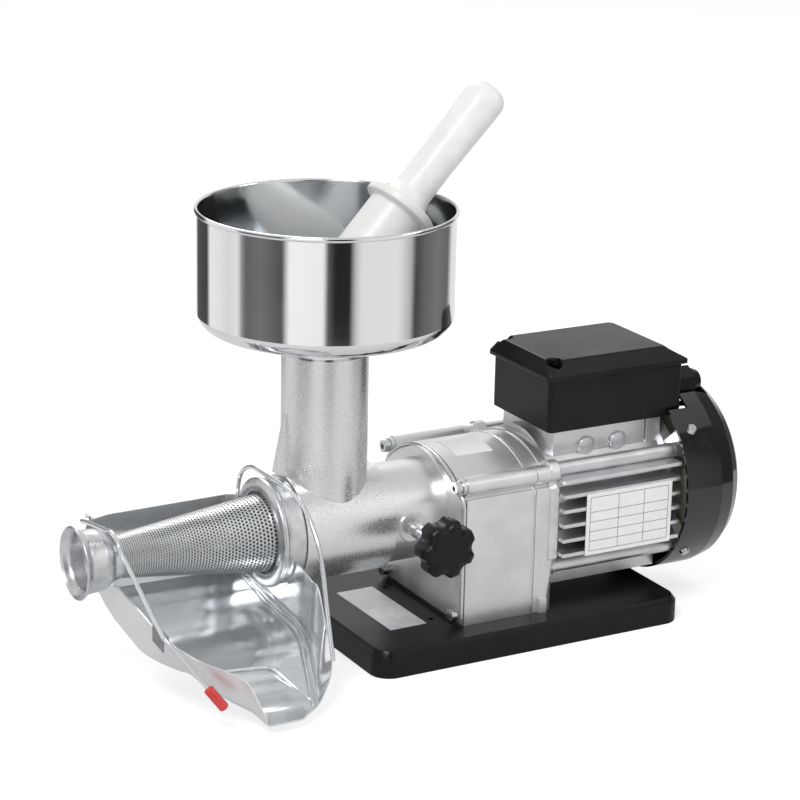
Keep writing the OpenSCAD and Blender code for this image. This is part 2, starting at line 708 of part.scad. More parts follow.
module switch_box_lid() color("#27282a") difference() {
    lid_form(0);
    difference() {
        translate([0, 0, -e]) lid_form(sbox_wall + lid_lip);
        at_lid_posts() translate([0, 0, sbox_top]) cylinder(h = 6, r = 7);
    }
    for (x = [sbox_x0 + 6, sbox_x1 - 6], y = [-sbox_w / 2 + 6, sbox_w / 2 - 6]) {
        translate([x, y, sbox_top - 1]) cylinder(h = 20, r = 2);
        translate([x, y, sbox_top + 3]) cylinder(h = 20, r = 5.5);
    }
}

module lid_screws() color("#d4d6d8")
    for (x = [sbox_x0 + 6, sbox_x1 - 6], y = [-sbox_w / 2 + 6, sbox_w / 2 - 6]) {
        translate([x, y, sbox_top - 12]) cylinder(h = 15.2, r = 1.5);
        translate([x, y, sbox_top + 3.05]) cylinder(h = 2.4, r1 = 3.4, r2 = 2.6);
    }

module run_capacitor() color("#e6e4de")
    translate([sbox_x0 + 9, 8.5, sbox_z + sbox_wall + 14.05]) rotate([0, 90, 0]) {
        cylinder(h = 58, r = 14);
        translate([0, 0, 58 - e]) cylinder(h = 4, r = 11);
    }

module terminal_block() color("#8a5a3a") difference() {
    translate([tbase_x0 + 8, -30, sbox_z + sbox_wall + 0.05]) cube([44, 18, 12]);
    for (i = [0:4]) translate([tbase_x0 + 13 + i * 8.5, -21, sbox_z + 6]) cylinder(h = 20, r = 2.6);
}

module switch_frame() color("#1c1d1f") difference() {
    union() {
        translate([rocker_x - 16, sbox_w / 2 + 0.05, rocker_z - 11]) cube([32, 1.8, 22]);
        translate([rocker_x - 13.9, sbox_w / 2 - 14, rocker_z - 8.9]) cube([27.8, 14.1, 17.8]);
    }
    translate([rocker_x - 12.4, sbox_w / 2 - 10, rocker_z - 7.4]) cube([24.8, 20, 14.8]);
}

module switch_rocker() color("#151617")
    translate([rocker_x, sbox_w / 2 - 4, rocker_z]) rotate([0, 0, -8]) {
        translate([0, 0, -7]) linear_extrude(14)
            polygon([[-11.6, 2], [-11.3, 7.4], [0, 5.2], [11.3, 7.4], [11.6, 2], [4, -2.6], [-4, -2.6]]);
        translate([0, 0, -7.35]) cylinder(h = 14.7, r = 1.6);
    }

module gland_body() color("#1e1f21") difference() {
    union() {
        rod_x(sbox_x1 - 7, sbox_x1 + 12, 7.8, gland_y, gland_z);
        translate([sbox_x1 + 0.05, gland_y, gland_z]) rotate([0, 90, 0]) cylinder(h = 5, r = 12.2, $fn = 6);
    }
    rod_x(sbox_x1 - 8, sbox_x1 + 13, gland_bore + 1, gland_y, gland_z);
}

module gland_nut() color("#1b1c1e") difference() {
    union() {
        translate([sbox_x1 + 5.2, gland_y, gland_z]) rotate([0, 90, 0]) cylinder(h = 14, r = 11.8, $fn = 6);
        translate([sbox_x1 + 19.2 - e, gland_y, gland_z]) rotate([0, 90, 0]) cylinder(h = 7, r1 = 10.4,
            r2 = 7.4);
    }
    rod_x(sbox_x1 + 5, sbox_x1 + 13.2, 7.9, gland_y, gland_z);
    rod_x(sbox_x1 + 13, sbox_x1 + 30, gland_bore, gland_y, gland_z);
}

// Clamp of the press body

module lock_sleeve() color("#c9cbcd") translate([knob_x, 0, axis_h]) rotate([90, 0, 0]) {
    translate([0, 0, spig_r + 0.35]) cylinder(h = neck_r - spig_r + 5, r = 4);
    translate([0, 0, neck_r + 5]) cylinder(h = knob_y0 - seat - neck_r - 5, r = sleeve_r);
}

module lock_knob() color("#1d1e20")
    translate([knob_x, 0, axis_h]) rotate([90, 0, 0]) translate([0, 0, knob_y0]) {
        cylinder(h = 4, r = 11);
        translate([0, 0, 3]) linear_extrude(knob_h - 6) knob_outline(knob_r);
        translate([0, 0, knob_h - 3 - e]) linear_extrude(3) knob_outline(knob_r - 2);
    }

module knob_outline(r) {
    difference() {
        circle(r, $fn = 64);
        for (k = [0:6]) rotate([0, 0, k * 360 / 7]) translate([r + 4.4, 0]) circle(7.2);
    }
}

// Press body

module press_body() color("#bfc1c3") difference() {
    union() {
        rod_x(barrel_x0 + nose_len, barrel_x1, barrel_r);
        rod_x(barrel_x0, barrel_x0 + nose_len + e, nose_r);
        rod_x(barrel_x1 - e, spig_x1, spig_r);
        translate([tube_x, 0, axis_h]) cylinder(h = tube_top - axis_h, r = tube_r, $fn = 96);
        translate([0, 3, 0]) rotate([90, 0, 0]) linear_extrude(6)
            polygon([[tube_x - 25, tube_top - 36], [tube_x - tube_r, tube_top - 40], [rib_x0,
                axis_h + barrel_r + 3.5],
                [ring_x1 + seat, axis_h + barrel_r + 0.5], [ring_x1 + seat, axis_h + barrel_r - 4],
                [tube_x - 25, axis_h + barrel_r - 4]]);
        for (a = [30, 150, 270]) translate([0, 0, axis_h]) rotate([a, 0, 0])
            translate([lug_x0, nose_r - 1, -4]) cube([3.4, 2.8, 8]);
    }
    rod_x(barrel_x0 - 1, barrel_x1 - 7.5, barrel_bore);
    rod_x(barrel_x1 - 8, barrel_x1 + 1, shank_r + run);
    rod_x(barrel_x1 - 0.5, spig_x1 + 1, 15);
    translate([tube_x, 0, axis_h]) cylinder(h = 200, r = tube_bore, $fn = 96);
    translate([tube_x, 0, spigot_z0 - 1]) cylinder(h = 100, r = spigot_r + 0.1, $fn = 96);
}

// Helical flight of the screw, lofted from a root and a tip radius
function flight_tip(x) = x > barrel_x0 + 4 ? barrel_bore - 0.8
    : cone_r0 + (cone_r1 - cone_r0) * (x - cone_x0) / (flange_x0 - cone_x0) - cone_t - 0.8;
core_tip_r = 7;
core_rise = 2;
function core_r(x) = core_tip_r + core_rise * max(0, min(1, (x - cone_x0 - 20) / 120));
auger_x0 = cone_x0 + 8;
auger_x1 = barrel_x1 - 9;
auger_pitch = 32;
auger_steps = 18;

module auger() color("#c3c5c7") {
    n = floor((auger_x1 - auger_x0 - 6) / auger_pitch * auger_steps);
    rings = [for (i = [0:n]) let (x = auger_x0 + 3 + i * auger_pitch / auger_steps,
        a = 360 * i / auger_steps,
            c = core_r(x) - 1, t = flight_tip(x), d = [0, cos(a), sin(a)])
        each [[x - 2.6, 0, axis_h] + c * d, [x - 1.2, 0, axis_h] + t * d, [x + 1.2, 0, axis_h] + t * d,
            [x + 2.6, 0, axis_h] + c * d]];
    faces = [for (i = [0:n - 1], k = [0:3]) let (a = 4 * i + k, b = 4 * i + (k + 1) % 4)
        each [[a, b, b + 4], [a, b + 4, a + 4]]];
    ends = [[0, 3, 2], [0, 2, 1], [4 * n, 4 * n + 1, 4 * n + 2], [4 * n, 4 * n + 2, 4 * n + 3]];
    polyhedron(rings, concat(faces, ends));
    turned([[auger_x0, 0], [auger_x0 + 1, 5], [auger_x0 + 4, core_r(auger_x0)], [auger_x0 + 132,
        core_r(auger_x1)],
        [auger_x1, core_r(auger_x1)], [auger_x1, 0]]);
    rod_x(auger_x1 - 4, auger_x1 + 0.5, 20);
    rod_x(auger_x1, spig_x1 - 15.5, shank_r);
    translate([spig_x1 - 16, -5.9, axis_h - 5.9]) cube([12, 11.8, 11.8]);
}

// Strainer

function cone_at(x) = cone_r0 + (cone_r1 - cone_r0) * (x - cone_x0) / (flange_x0 - cone_x0);

module strainer_cone() color("#c8cacc") difference() {
    turned([[cone_x0 - end_len, cone_r0 - cone_t], [cone_x0 - end_len, cone_r0], [cone_x0, cone_r0],
        [flange_x0, cone_r1], [flange_x0, nose_r - 1], [flange_x1, nose_r - 1], [flange_x1,
            cone_r1 - cone_t],
        [flange_x0 - 1, cone_r1 - cone_t], [cone_x0, cone_r0 - cone_t]]);
    step = (flange_x0 - cone_x0 - 16) / (cone_rings - 1);
    for (i = [0:cone_rings - 1], k = [0:cone_holes - 1])
        let (x = cone_x0 + 8 + i * step)
        translate([x, 0, axis_h]) rotate([360 * (k + 0.5 * (i % 2)) / cone_holes, 0, 0])
            translate([0, cone_at(x) - cone_t - 3, 0]) rotate([-90, 0, 0]) cylinder(h = 8, r = cone_hole,
                $fn = 16);
}

module clamp_ring() color("#cfd1d3") {
    turned([[ring_x0, 28], [ring_x0, ring_r - 1], [ring_x0 + 1.6, ring_r + 1], [ring_x0 + 3.6, ring_r + 1],
        [ring_x0 + 5, ring_r - 0.4], [ring_x1, ring_r - 0.4], [ring_x1, nose_r + run],
        [lug_x0 + 3.8, nose_r + run], [lug_x0 + 3.8, nose_r + 2.4], [lug_x0 - 0.4, nose_r + 2.4],
        [lug_x0 - 0.4, nose_r + run], [flange_x0 - seat, nose_r + run], [flange_x0 - seat, 28]]);
}

module nozzle() color("#cbcdcf") difference() {
    turned([[mouth_x, mouth_r - 0.6], [mouth_x + 0.8, mouth_r], [mouth_x + 2.4, mouth_r - 0.8],
        [mouth_x + 5, 21.4],
        [mouth_x + 16, 20.2], [mouth_x + 20, 18.9], [mouth_x + 23, 15.8], [neckend_x - seat,
            cone_r0 + nozzle_t],
        [neckend_x - seat, cone_r0 + run], [neckend_x - 7, cone_r0 + run], [mouth_x + 19, 17.2],
        [mouth_x + 15, 18.8], [mouth_x + 5, 20], [mouth_x + 1.6, mouth_r - 2]]);
    for (a = [200, 20]) translate([neckend_x - 6, 0, axis_h]) rotate([a, 0, 0])
        translate([0, 8, -1.6]) cube([10, 12, 3.2]);
}

// Drip chute

function chute_section(row) = let (lt = [row[1], row[2]], lb = [row[3], row[4]], rb = [row[5], row[6]],
        rt = [row[7], row[8]], b = 9 * min(1, norm(lt - lb) / 30), d = unit(lt - lb), f = unit(rb - lb))
    [for (p = [lt, lb + d * norm(lt - lb) * 0.55, lb + d * b, lb + (d + f) * b * 0.3, lb + f * b,
        (lb + rb) / 2,
            rb - f * 3, rb + unit(rt - rb) * 2.5, (rb + rt) / 2, rt]) [p[0], row[0], p[1]]];

module chute_sheet() {
    ns = len(chute_rows);
    inner = [for (row = chute_rows) chute_section(row)];
    np = len(inner[0]);
    normals = [for (i = [0:ns - 1]) [for (k = [0:np - 1])
        let (a = inner[min(i + 1, ns - 1)][k] - inner[max(i - 1, 0)][k],
            b = inner[i][min(k + 1, np - 1)] - inner[i][max(k - 1, 0)])
        unit(cross(b, a))]];
    in_p = [for (i = [0:ns - 1], k = [0:np - 1]) inner[i][k]];
    out_p = [for (i = [0:ns - 1], k = [0:np - 1]) inner[i][k] - chute_t * normals[i][k]];
    o = ns * np;
    quads = [for (i = [0:ns - 2], k = [0:np - 2]) let (a = i * np + k) [a, a + 1, a + np + 1, a + np]];
    tri = function(q, flip, add) flip
        ? [[q[0] + add, q[2] + add, q[1] + add], [q[0] + add, q[3] + add, q[2] + add]]
        : [[q[0] + add, q[1] + add, q[2] + add], [q[0] + add, q[2] + add, q[3] + add]];
    rim = concat([for (i = [0:ns - 2]) [(i + 1) * np, i * np]], [for (k = [0:np - 2]) [k, k + 1]],
        [for (i = [0:ns - 2]) [i * np + np - 1, (i + 1) * np + np - 1]],
        [for (k = [0:np - 2]) [(ns - 1) * np + k + 1, (ns - 1) * np + k]]);
    polyhedron(concat(in_p, out_p), concat([for (q = quads) each tri(q, true, 0)], [for (q = quads)
        each tri(q, false, o)],
        [for (s = rim) each [[s[0], s[1], s[1] + o], [s[0], s[1] + o, s[0] + o]]]));
}

module drip_chute() color("#c9cbcd") difference() {
    union() {
        chute_sheet();
        translate([0, chute_back_y, 0]) rotate([90, 0, 0]) linear_extrude(chute_t)
            polygon([[-272, 47.2], [-278.8, 88], [-277.4, 94], [-272, 98.5], [-262, 100.5], [-176,
                101.5], [-168, 100],
                [-164, 94], [-165.8, 46.4]]);
        translate([bail_x + 1.1, -73, tab_z - 6.6]) rotate([8, 0, 0]) cube([1.6, 20, 11], center = true);
        translate([bail_x + 0.4, -75, tab_z - 2.2]) cube([3.4, 11, 1.6]);
        translate([bail_x + 4, chute_back_y - 0.6, bail_pivot[1] - 3.5]) cube([1.5,
            bail_pivot[0] - chute_back_y + 4, 7]);
    }
    rod_x(bail_x, bail_x + 10, wire_r + 2 * run, bail_pivot[0], bail_pivot[1]);
    rod_x(cone_x0 - 30, cone_x0 + 30, chute_notch_r);
    rod_x(barrel_x0 - 10, barrel_x0 + 40, barrel_r + 0.4);
}

module rear_hanger() color("#c4c6c8") wire([for (p = hang_points) [hang_x, p[0], p[1]]], wire_r);

module front_bail() color("#c4c6c8") {
    arc = [for (a = [70:9:124]) [bail_x, bail_arc * cos(a), axis_h + bail_arc * sin(a)]];
    wire(concat([[bail_x + 8, bail_pivot[0], bail_pivot[1]], [bail_x + 1.2, bail_pivot[0], bail_pivot[1]],
        [bail_x, bail_pivot[0] - 2, bail_pivot[1] + 0.4], [bail_x, 36, bail_pivot[1] + 2.6]], arc,
        [[bail_x, -30, axis_h + 4.5], [bail_x, bail_hook[0] + 4, bail_hook[1] + 2.4],
            [bail_x + 0.6, bail_hook[0] - 5.5, bail_hook[1] - 2], [bail_x + 6, bail_hook[0] - 10,
                bail_hook[1] - 8],
            grip_start]), wire_r);
}

module bail_grip() color("#d23a3a") {
    d = grip_end - grip_start;
    translate(grip_start + 0.3 * unit(d)) rotate([0, acos(d[2] / norm(d)), atan2(d[1], d[0])])
        cylinder(h = norm(d), r = 3.4);
}

// Bowl and pestle

module bowl() color("#d5d7d9") translate([tube_x, 0, 0]) {
    t = bowl_t;
    rotate_extrude($fn = 128) polygon([[spigot_r - t, spigot_z0], [spigot_r, spigot_z0], [spigot_r,
        spigot_top],
        [spigot_r + 24, spigot_top + 6.5], [bowl_r - 11, spigot_top + 14.5], [bowl_r - 4, spigot_top + 20],
        [bowl_r - 1, spigot_top + 25], [bowl_r, bowl_corner_z + 2], [bowl_r, bowl_top - 2.6],
            [bowl_r + 1.8, bowl_top - 2.4],
        [bowl_r + 2, bowl_top - 0.8], [bowl_r + 1, bowl_top], [bowl_r - t, bowl_top], [bowl_r - t,
            bowl_corner_z + 2],
        [bowl_r - 1 - t, spigot_top + 26], [bowl_r - 4.8, spigot_top + 21.2], [bowl_r - 11.5,
            spigot_top + 16],
        [spigot_r + 24, spigot_top + 8], [spigot_r - t, spigot_top + 1.4]]);
}

module pestle() color("#f2f2ef")
    translate([tube_x - 4, -0.3, pestle_z]) rotate([0, 0, pestle_turn]) rotate([0, pestle_lean, 0])
        translate([0, 0, 0.6]) rotate_extrude($fn = 64) polygon([[0, -tamper_l], [tamper_r - 2.5,
            -tamper_l],
            [tamper_r - 0.6, 0.8 - tamper_l], [tamper_r, 2.6 - tamper_l], [tamper_r, flange_at - 5],
            [flange_r - 1.4, flange_at - 4], [flange_r, flange_at - 2], [flange_r, flange_at + 1],
            [flange_r - 1.4, flange_at + 3], [handle_r + 2, flange_at + 4.5], [handle_r - 1.2,
                flange_at + 9],
            [handle_r - 1.5, flange_at + 23], [handle_r - 0.2, handle_end - 12], [handle_r - 1,
                handle_end - 6],
            [handle_r - 4.5, handle_end - 1.8], [handle_r - 9, handle_end], [0, handle_end]]);

base_tray();
base_screws();
gearbox_housing();
gearbox_cover();
housing_screws();
output_bearings();
output_seal();
output_shaft();
output_wheel();
layshaft();
layshaft_wheel();
layshaft_bearings();
motor_housing();
stator_core();
stator_windings();
rotor_shaft();
rotor_core();
motor_bearings();
rear_shield();
tie_rods();
cooling_fan();
fan_cover();
fan_cover_screws();
terminal_base();
switch_box();
switch_box_lid();
lid_screws();
run_capacitor();
terminal_block();
switch_frame();
switch_rocker();
gland_body();
gland_nut();
lock_sleeve();
lock_knob();
press_body();
auger();
strainer_cone();
clamp_ring();
nozzle();
drip_chute();
rear_hanger();
front_bail();
bail_grip();
bowl();
pestle();
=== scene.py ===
import math
import bmesh
import bpy
import numpy as np
from mathutils import Matrix, Vector


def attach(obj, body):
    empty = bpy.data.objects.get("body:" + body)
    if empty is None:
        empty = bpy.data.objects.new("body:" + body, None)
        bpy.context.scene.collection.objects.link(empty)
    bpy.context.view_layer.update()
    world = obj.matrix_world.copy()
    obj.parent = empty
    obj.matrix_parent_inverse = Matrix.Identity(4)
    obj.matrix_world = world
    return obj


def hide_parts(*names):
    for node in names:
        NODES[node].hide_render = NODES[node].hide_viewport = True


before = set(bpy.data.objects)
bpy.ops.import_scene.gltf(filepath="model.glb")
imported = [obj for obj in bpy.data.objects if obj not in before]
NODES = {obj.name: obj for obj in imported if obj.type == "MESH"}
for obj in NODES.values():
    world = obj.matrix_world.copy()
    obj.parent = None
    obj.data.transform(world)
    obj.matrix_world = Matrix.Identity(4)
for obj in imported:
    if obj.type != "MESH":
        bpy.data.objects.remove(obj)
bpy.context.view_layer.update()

MM = 0.001


# Camera, as fitted to the photograph

def look_from_photo():
    """Camera with its forward, right and up vectors from yaw, pitch and roll."""
    yaw, pitch, roll = 0.513457, 0.302012, 0.0219
    position = Vector((-0.89088, -1.45805, 0.68814))
    forward = Vector((math.sin(yaw) * math.cos(pitch), math.cos(yaw) * math.cos(pitch), -math.sin(pitch)))
    level_right = Vector((math.cos(yaw), -math.sin(yaw), 0))
    level_up = level_right.cross(forward)
    right = math.cos(roll) * level_right + math.sin(roll) * level_up
    up = -math.sin(roll) * level_right + math.cos(roll) * level_up
    data = bpy.data.cameras.new("camera")
    data.sensor_width = 36
    data.lens = 117.306
    data.clip_start = 0.01
    camera = bpy.data.objects.new("camera", data)
    bpy.context.scene.collection.objects.link(camera)
    turn = Matrix((right, up, -forward)).transposed()
    camera.matrix_world = Matrix.Translation(position) @ turn.to_4x4()
    bpy.context.scene.camera = camera


# Shader helpers

def hex_rgb(code):
    """Linear colour of an sRGB hex value."""
    parts = [int(code[i:i + 2], 16) / 255 for i in (1, 3, 5)]
    return tuple(p / 12.92 if p <= 0.04045 else ((p + 0.055) / 1.055) ** 2.4 for p in parts) + (1.0,)


def add_node(tree, kind, settings=None, links=None):
    """Adds a shader node, sets its properties and sockets, and links sockets to given outputs."""
    made = tree.nodes.new(kind)
    for key, value in (settings or {}).items():
        if isinstance(key, str) and hasattr(made, key):
            setattr(made, key, value)
        else:
            made.inputs[key].default_value = value
    for key, source in (links or {}).items():
        tree.links.new(source, made.inputs[key])
    return made


def new_material(name):
    """Empty node material: its tree and its output node."""
    material = bpy.data.materials.new(name)
    material.use_nodes = True
    tree = material.node_tree
    tree.nodes.clear()
    out = add_node(tree, "ShaderNodeOutputMaterial")
    return material, tree, out


def surface(name, settings, patterns, colour=None, rough=None, relief=None, plus=None, edge=0.0,
            window=(0.3, 0.7), stretch=(1, 1, 1)):
    """Principled material whose settings stand on its own sockets. Patterns are noise over Object
    coordinates, stretched along the axes, each as lumps to the metre, detail and, where it isn't a half,
    fineness. Colour runs between two hex values as its pattern crosses the window, and roughness between two
    levels as its pattern goes from 0.3 to 0.7. Relief is a pattern with a depth in mm and a strength, plus a
    share of another pattern, over edges rounded by edge mm."""
    material, tree, out = new_material(name)
    place = add_node(tree, "ShaderNodeTexCoord").outputs["Object"]
    place = add_node(tree, "ShaderNodeMapping", {"Scale": stretch}, {"Vector": place}).outputs["Vector"]
    height = {}
    for pattern, numbers in patterns.items():
        lumps = dict(zip(("Scale", "Detail", "Roughness"), numbers))
        height[pattern] = add_node(tree, "ShaderNodeTexNoise", lumps, {"Vector": place}).outputs["Fac"]
    links = {}
    if colour:
        pattern, low, high = colour
        span = {"From Min": window[0], "From Max": window[1]}
        share = add_node(tree, "ShaderNodeMapRange", span, {"Value": height[pattern]}).outputs["Result"]
        ends = {"data_type": "RGBA", 6: hex_rgb(low), 7: hex_rgb(high)}
        links["Base Color"] = add_node(tree, "ShaderNodeMix", ends, {0: share}).outputs[2]
    if rough:
        pattern, low, high = rough
        span = {"From Min": 0.3, "From Max": 0.7, "To Min": low, "To Max": high}
        level = add_node(tree, "ShaderNodeMapRange", span, {"Value": height[pattern]})
        links["Roughness"] = level.outputs["Result"]
    if relief:
        pattern, depth, strength = relief
        raised = {"Height": height[pattern]}
        if plus:
            other, share = plus
            both = add_node(tree, "ShaderNodeMath", {"operation": "MULTIPLY_ADD", 1: share},
                            {0: height[other], 2: height[pattern]})
            raised["Height"] = both.outputs[0]
        if edge:
            eased = add_node(tree, "ShaderNodeBevel", {"samples": 4, "Radius": edge * MM})
            raised["Normal"] = eased.outputs["Normal"]
        dents = {"Strength": strength, "Distance": depth * MM}
        links["Normal"] = add_node(tree, "ShaderNodeBump", dents, raised).outputs["Normal"]
    shader = add_node(tree, "ShaderNodeBsdfPrincipled", settings, links)
    tree.links.new(shader.outputs["BSDF"], out.inputs["Surface"])
    return material


def plain(name, low, high, rough, metallic=0.0, per_metre=200):
    """Plain finish: colour in clouds, so many to the metre, and roughness within 15 percent of a level."""
    return surface(name, {"Metallic": metallic}, {"cloud": (per_metre, 2)}, ("cloud", low, high),
                   ("cloud", rough * 0.85, rough * 1.15))


# Materials

# Die-cast aluminium: satin, cloudy from the die in patches of 26 mm, with a grain of 1.1 mm and soft edges
cast = surface("die_cast_aluminium", {"Metallic": 0.85}, {"cloud": (38, 3), "grain": (900, 2)},
               ("cloud", "#dadbdc", "#eaebeb"), ("cloud", 0.28, 0.38), ("grain", 0.05, 0.35), edge=0.8)

# Die-cast motor alloy: a little darker and rougher than the gearbox, with a grain of 1.4 mm
motor_cast = surface("motor_aluminium", {"Metallic": 0.9}, {"cloud": (60, 3), "grain": (700, 2)},
                     ("cloud", "#d4d6d8", "#e6e7e8"), ("cloud", 0.28, 0.4), ("grain", 0.06, 0.4), edge=0.5)

# Sand casting with a bright tinned skin: grains of 1.2 mm glitter over lumps of 4 mm
sand = surface("tinned_sand_casting", {"Metallic": 0.88}, {"sand": (850, 2, 0.6), "lumps": (240, 2)},
               ("sand", "#dddedf", "#ededee"), ("sand", 0.24, 0.36), ("sand", 0.22, 0.4),
               plus=("lumps", 0.5), window=(0.35, 0.65))

# Turned and tinned casting: bright skin over soft lumps of 7 mm and pits of 1.4 mm
tinned = surface("tinned_turned_casting", {"Metallic": 0.95}, {"lumps": (140, 2), "pits": (700, 2)},
                 ("lumps", "#c8cacc", "#dcdddf"), ("lumps", 0.26, 0.38), ("lumps", 0.25, 0.3),
                 plus=("pits", 0.25))

# Polished stainless steel: a mirror with a faint haze in patches of 40 mm
mirror = surface("polished_steel", {"Base Color": hex_rgb("#e9eaeb"), "Metallic": 1.0}, {"haze": (25, 2)},
                 rough=("haze", 0.05, 0.11))

# Spun and brushed inside of the bowl: a duller mirror, in which lamps smear wider
bowl_inside = surface("brushed_bowl_steel", {"Base Color": hex_rgb("#dcdee0"), "Metallic": 1.0},
                      {"haze": (60, 3)}, rough=("haze", 0.08, 0.15))

# Satin stainless sheet: a softened mirror with waves of 4 mm; its mill-finished back shows no image
sheet = {"Base Color": hex_rgb("#e6e8ea"), "Metallic": 0.8}
waves = {"haze": (45, 3), "wave": (260, 2)}
satin = surface("satin_steel", sheet, waves, rough=("haze", 0.12, 0.2), relief=("wave", 0.02, 0.2))
sheet_back = surface("mill_finish_steel", sheet, waves, rough=("haze", 0.36, 0.48),
                     relief=("wave", 0.02, 0.2))

# Perforated stainless sheet: rolled finish in streaks of 8 by 55 mm, duller than the bowl
strainer = surface("brushed_strainer_steel", {"Metallic": 0.85}, {"rolled": (120, 2)},
                   ("rolled", "#c4c6c8", "#dfe1e2"), ("rolled", 0.3, 0.42), stretch=(0.15, 1, 1))

# Zinc-plated screws: bright, with clouding of 3 mm
zinc = surface("zinc_plated_steel", {"Metallic": 1.0}, {"cloud": (300, 2)},
               ("cloud", "#c2c5c8", "#dcdee0"), ("cloud", 0.18, 0.3))

# Machined and oiled gear steel: dark, with turning marks drawn 1.7 mm apart so that they show
gear = surface("machined_gear_steel", {"Metallic": 1.0}, {"marks": (600, 1)},
               ("marks", "#6f7275", "#96999c"), ("marks", 0.25, 0.38), stretch=(1, 0.1, 0.1))

# Moulded black ABS: half gloss, with a spark-eroded grain drawn at 0.7 mm so that it shows
abs_black = surface("black_abs", {"IOR": 1.46, "Specular IOR Level": 0.28},
                    {"cloud": (30, 2), "grain": (1400, 2)}, ("cloud", "#0d0e0f", "#151617"),
                    ("cloud", 0.26, 0.36), ("grain", 0.04, 0.3), edge=0.6)

# Stoved gloss black enamel on pressed steel: deep, with slight orange peel of 6 mm
enamel = surface("gloss_black_enamel", {"Base Color": hex_rgb("#101113"), "IOR": 1.5, "Coat Weight": 0.6,
                                        "Coat Roughness": 0.05}, {"peel": (160, 1)},
                 rough=("peel", 0.08, 0.14), relief=("peel", 0.05, 0.12))

# Moulded food-grade polyethylene: milky white with a soft gloss
white_pe = surface("white_polyethylene", {"IOR": 1.51, "Subsurface Weight": 0.1, "Subsurface Scale": 0.004},
                   {"cloud": (80, 2), "grain": (900, 1)}, ("cloud", "#eeeeec", "#f6f6f4"),
                   ("cloud", 0.32, 0.42), ("grain", 0.04, 0.2))

# Dipped red vinyl grip: soft sheen with ripples of 5 mm
vinyl = surface("red_vinyl", {"Roughness": 0.32, "IOR": 1.53}, {"ripple": (220, 2)},
                ("ripple", "#c8302f", "#dc4544"), relief=("ripple", 0.1, 0.3))

# Plain finishes of small or hidden pieces and of the bare labels, and painted shade for the strainer's inside
# Painted shade: a dark grey on the strainer cone's inside skin, hole walls and rims stands in for the shade
# inside the cone
strainer_shade_paint = plain("strainer_inside_painted_shade", "#4a4c4e", "#5c5e60", 0.5, 0.9, 300)
nitrile = plain("nitrile_rubber", "#241a14", "#33251c", 0.6)
lamination = plain("lamination_steel", "#5c5e60", "#727476", 0.45, 0.9, 700)
copper = plain("enamelled_copper", "#8a4a20", "#b46a34", 0.35, 0.8, 900)
fan_nylon = plain("fan_nylon", "#cfcabc", "#ddd9cc", 0.5)
phenolic = plain("phenolic_block", "#6a4228", "#83552f", 0.5)
can_white = plain("capacitor_polypropylene", "#dad8d0", "#eae8e2", 0.45)
tab_steel = plain("rolled_steel_tab", "#808285", "#94969a", 0.42, 0.6)
plate_white = plain("printed_plate_white", "#f4f5f5", "#fbfbfb", 0.35)
label_silver = plain("silver_foil_label", "#c3c6c8", "#d2d4d6", 0.4, 0.2)
ink_black = plain("printing_ink", "#1b1c1e", "#242528", 0.5)

FINISHES = {
    cast: ["gearbox_housing", "gearbox_cover", "rear_shield"],
    motor_cast: ["motor_housing", "terminal_base"],
    sand: ["press_body", "auger"],
    mirror: ["clamp_ring", "nozzle", "drip_chute", "bowl", "rear_hanger", "front_bail"],
    strainer: ["strainer_cone"],
    zinc: ["base_screws", "housing_screws", "tie_rods", "fan_cover_screws", "lid_screws", "lock_sleeve",
           "output_bearings", "layshaft_bearings", "motor_bearings"],
    gear: ["output_shaft", "output_wheel", "layshaft", "layshaft_wheel", "rotor_shaft"],
    abs_black: ["base_tray", "switch_box", "switch_box_lid", "lock_knob", "gland_body", "gland_nut",
                "switch_frame", "switch_rocker"],
    enamel: ["fan_cover"],
    white_pe: ["pestle"],
    vinyl: ["bail_grip"],
    nitrile: ["output_seal"],
    lamination: ["stator_core", "rotor_core"],
    copper: ["stator_windings"],
    fan_nylon: ["cooling_fan"],
    phenolic: ["terminal_block"],
    can_white: ["run_capacitor"],
}
for finish, names in FINISHES.items():
    for name in names:
        mesh = NODES[name].data
        if not mesh.materials:
            mesh.materials.append(finish)
        for place in NODES[name].material_slots:
            place.link = "OBJECT"
            place.material = finish


# Mesh helpers; sizes are in mm unless a line says metres

# Height of the axis that rotor, screw, strainer and nozzle share
AXIS = 88.5


def solid_from(name, points, faces, material, body, stands_for=(), angle=32):
    """Mesh piece from arrays of points (metres) and faces, smooth below an angle, riding on a body."""
    mesh = bpy.data.meshes.new(name)
    points = np.asarray(points, dtype=float).reshape(-1, 3)
    mesh.from_pydata(points.tolist(), [], [list(map(int, face)) for face in faces])
    mesh.validate()
    mesh.materials.append(material)
    mesh.shade_smooth()
    mesh.set_sharp_from_angle(angle=math.radians(angle))
    piece = bpy.data.objects.new(name, mesh)
    bpy.context.scene.collection.objects.link(piece)
    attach(piece, body)
    if stands_for:
        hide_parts(*stands_for)
    return piece


def grid_faces(rows, columns, wrap_rows=False, wrap_columns=False):
    """Quads of a grid of points, point (i, j) at i * columns + j, with either direction closed."""
    i, j = np.meshgrid(np.arange(rows if wrap_rows else rows - 1),
                       np.arange(columns if wrap_columns else columns - 1), indexing="ij")
    a, b = i * columns + j, i * columns + (j + 1) % columns
    c, d = ((i + 1) % rows) * columns + (j + 1) % columns, ((i + 1) % rows) * columns + j
    return np.stack([a, b, c, d], axis=-1).reshape(-1, 4)


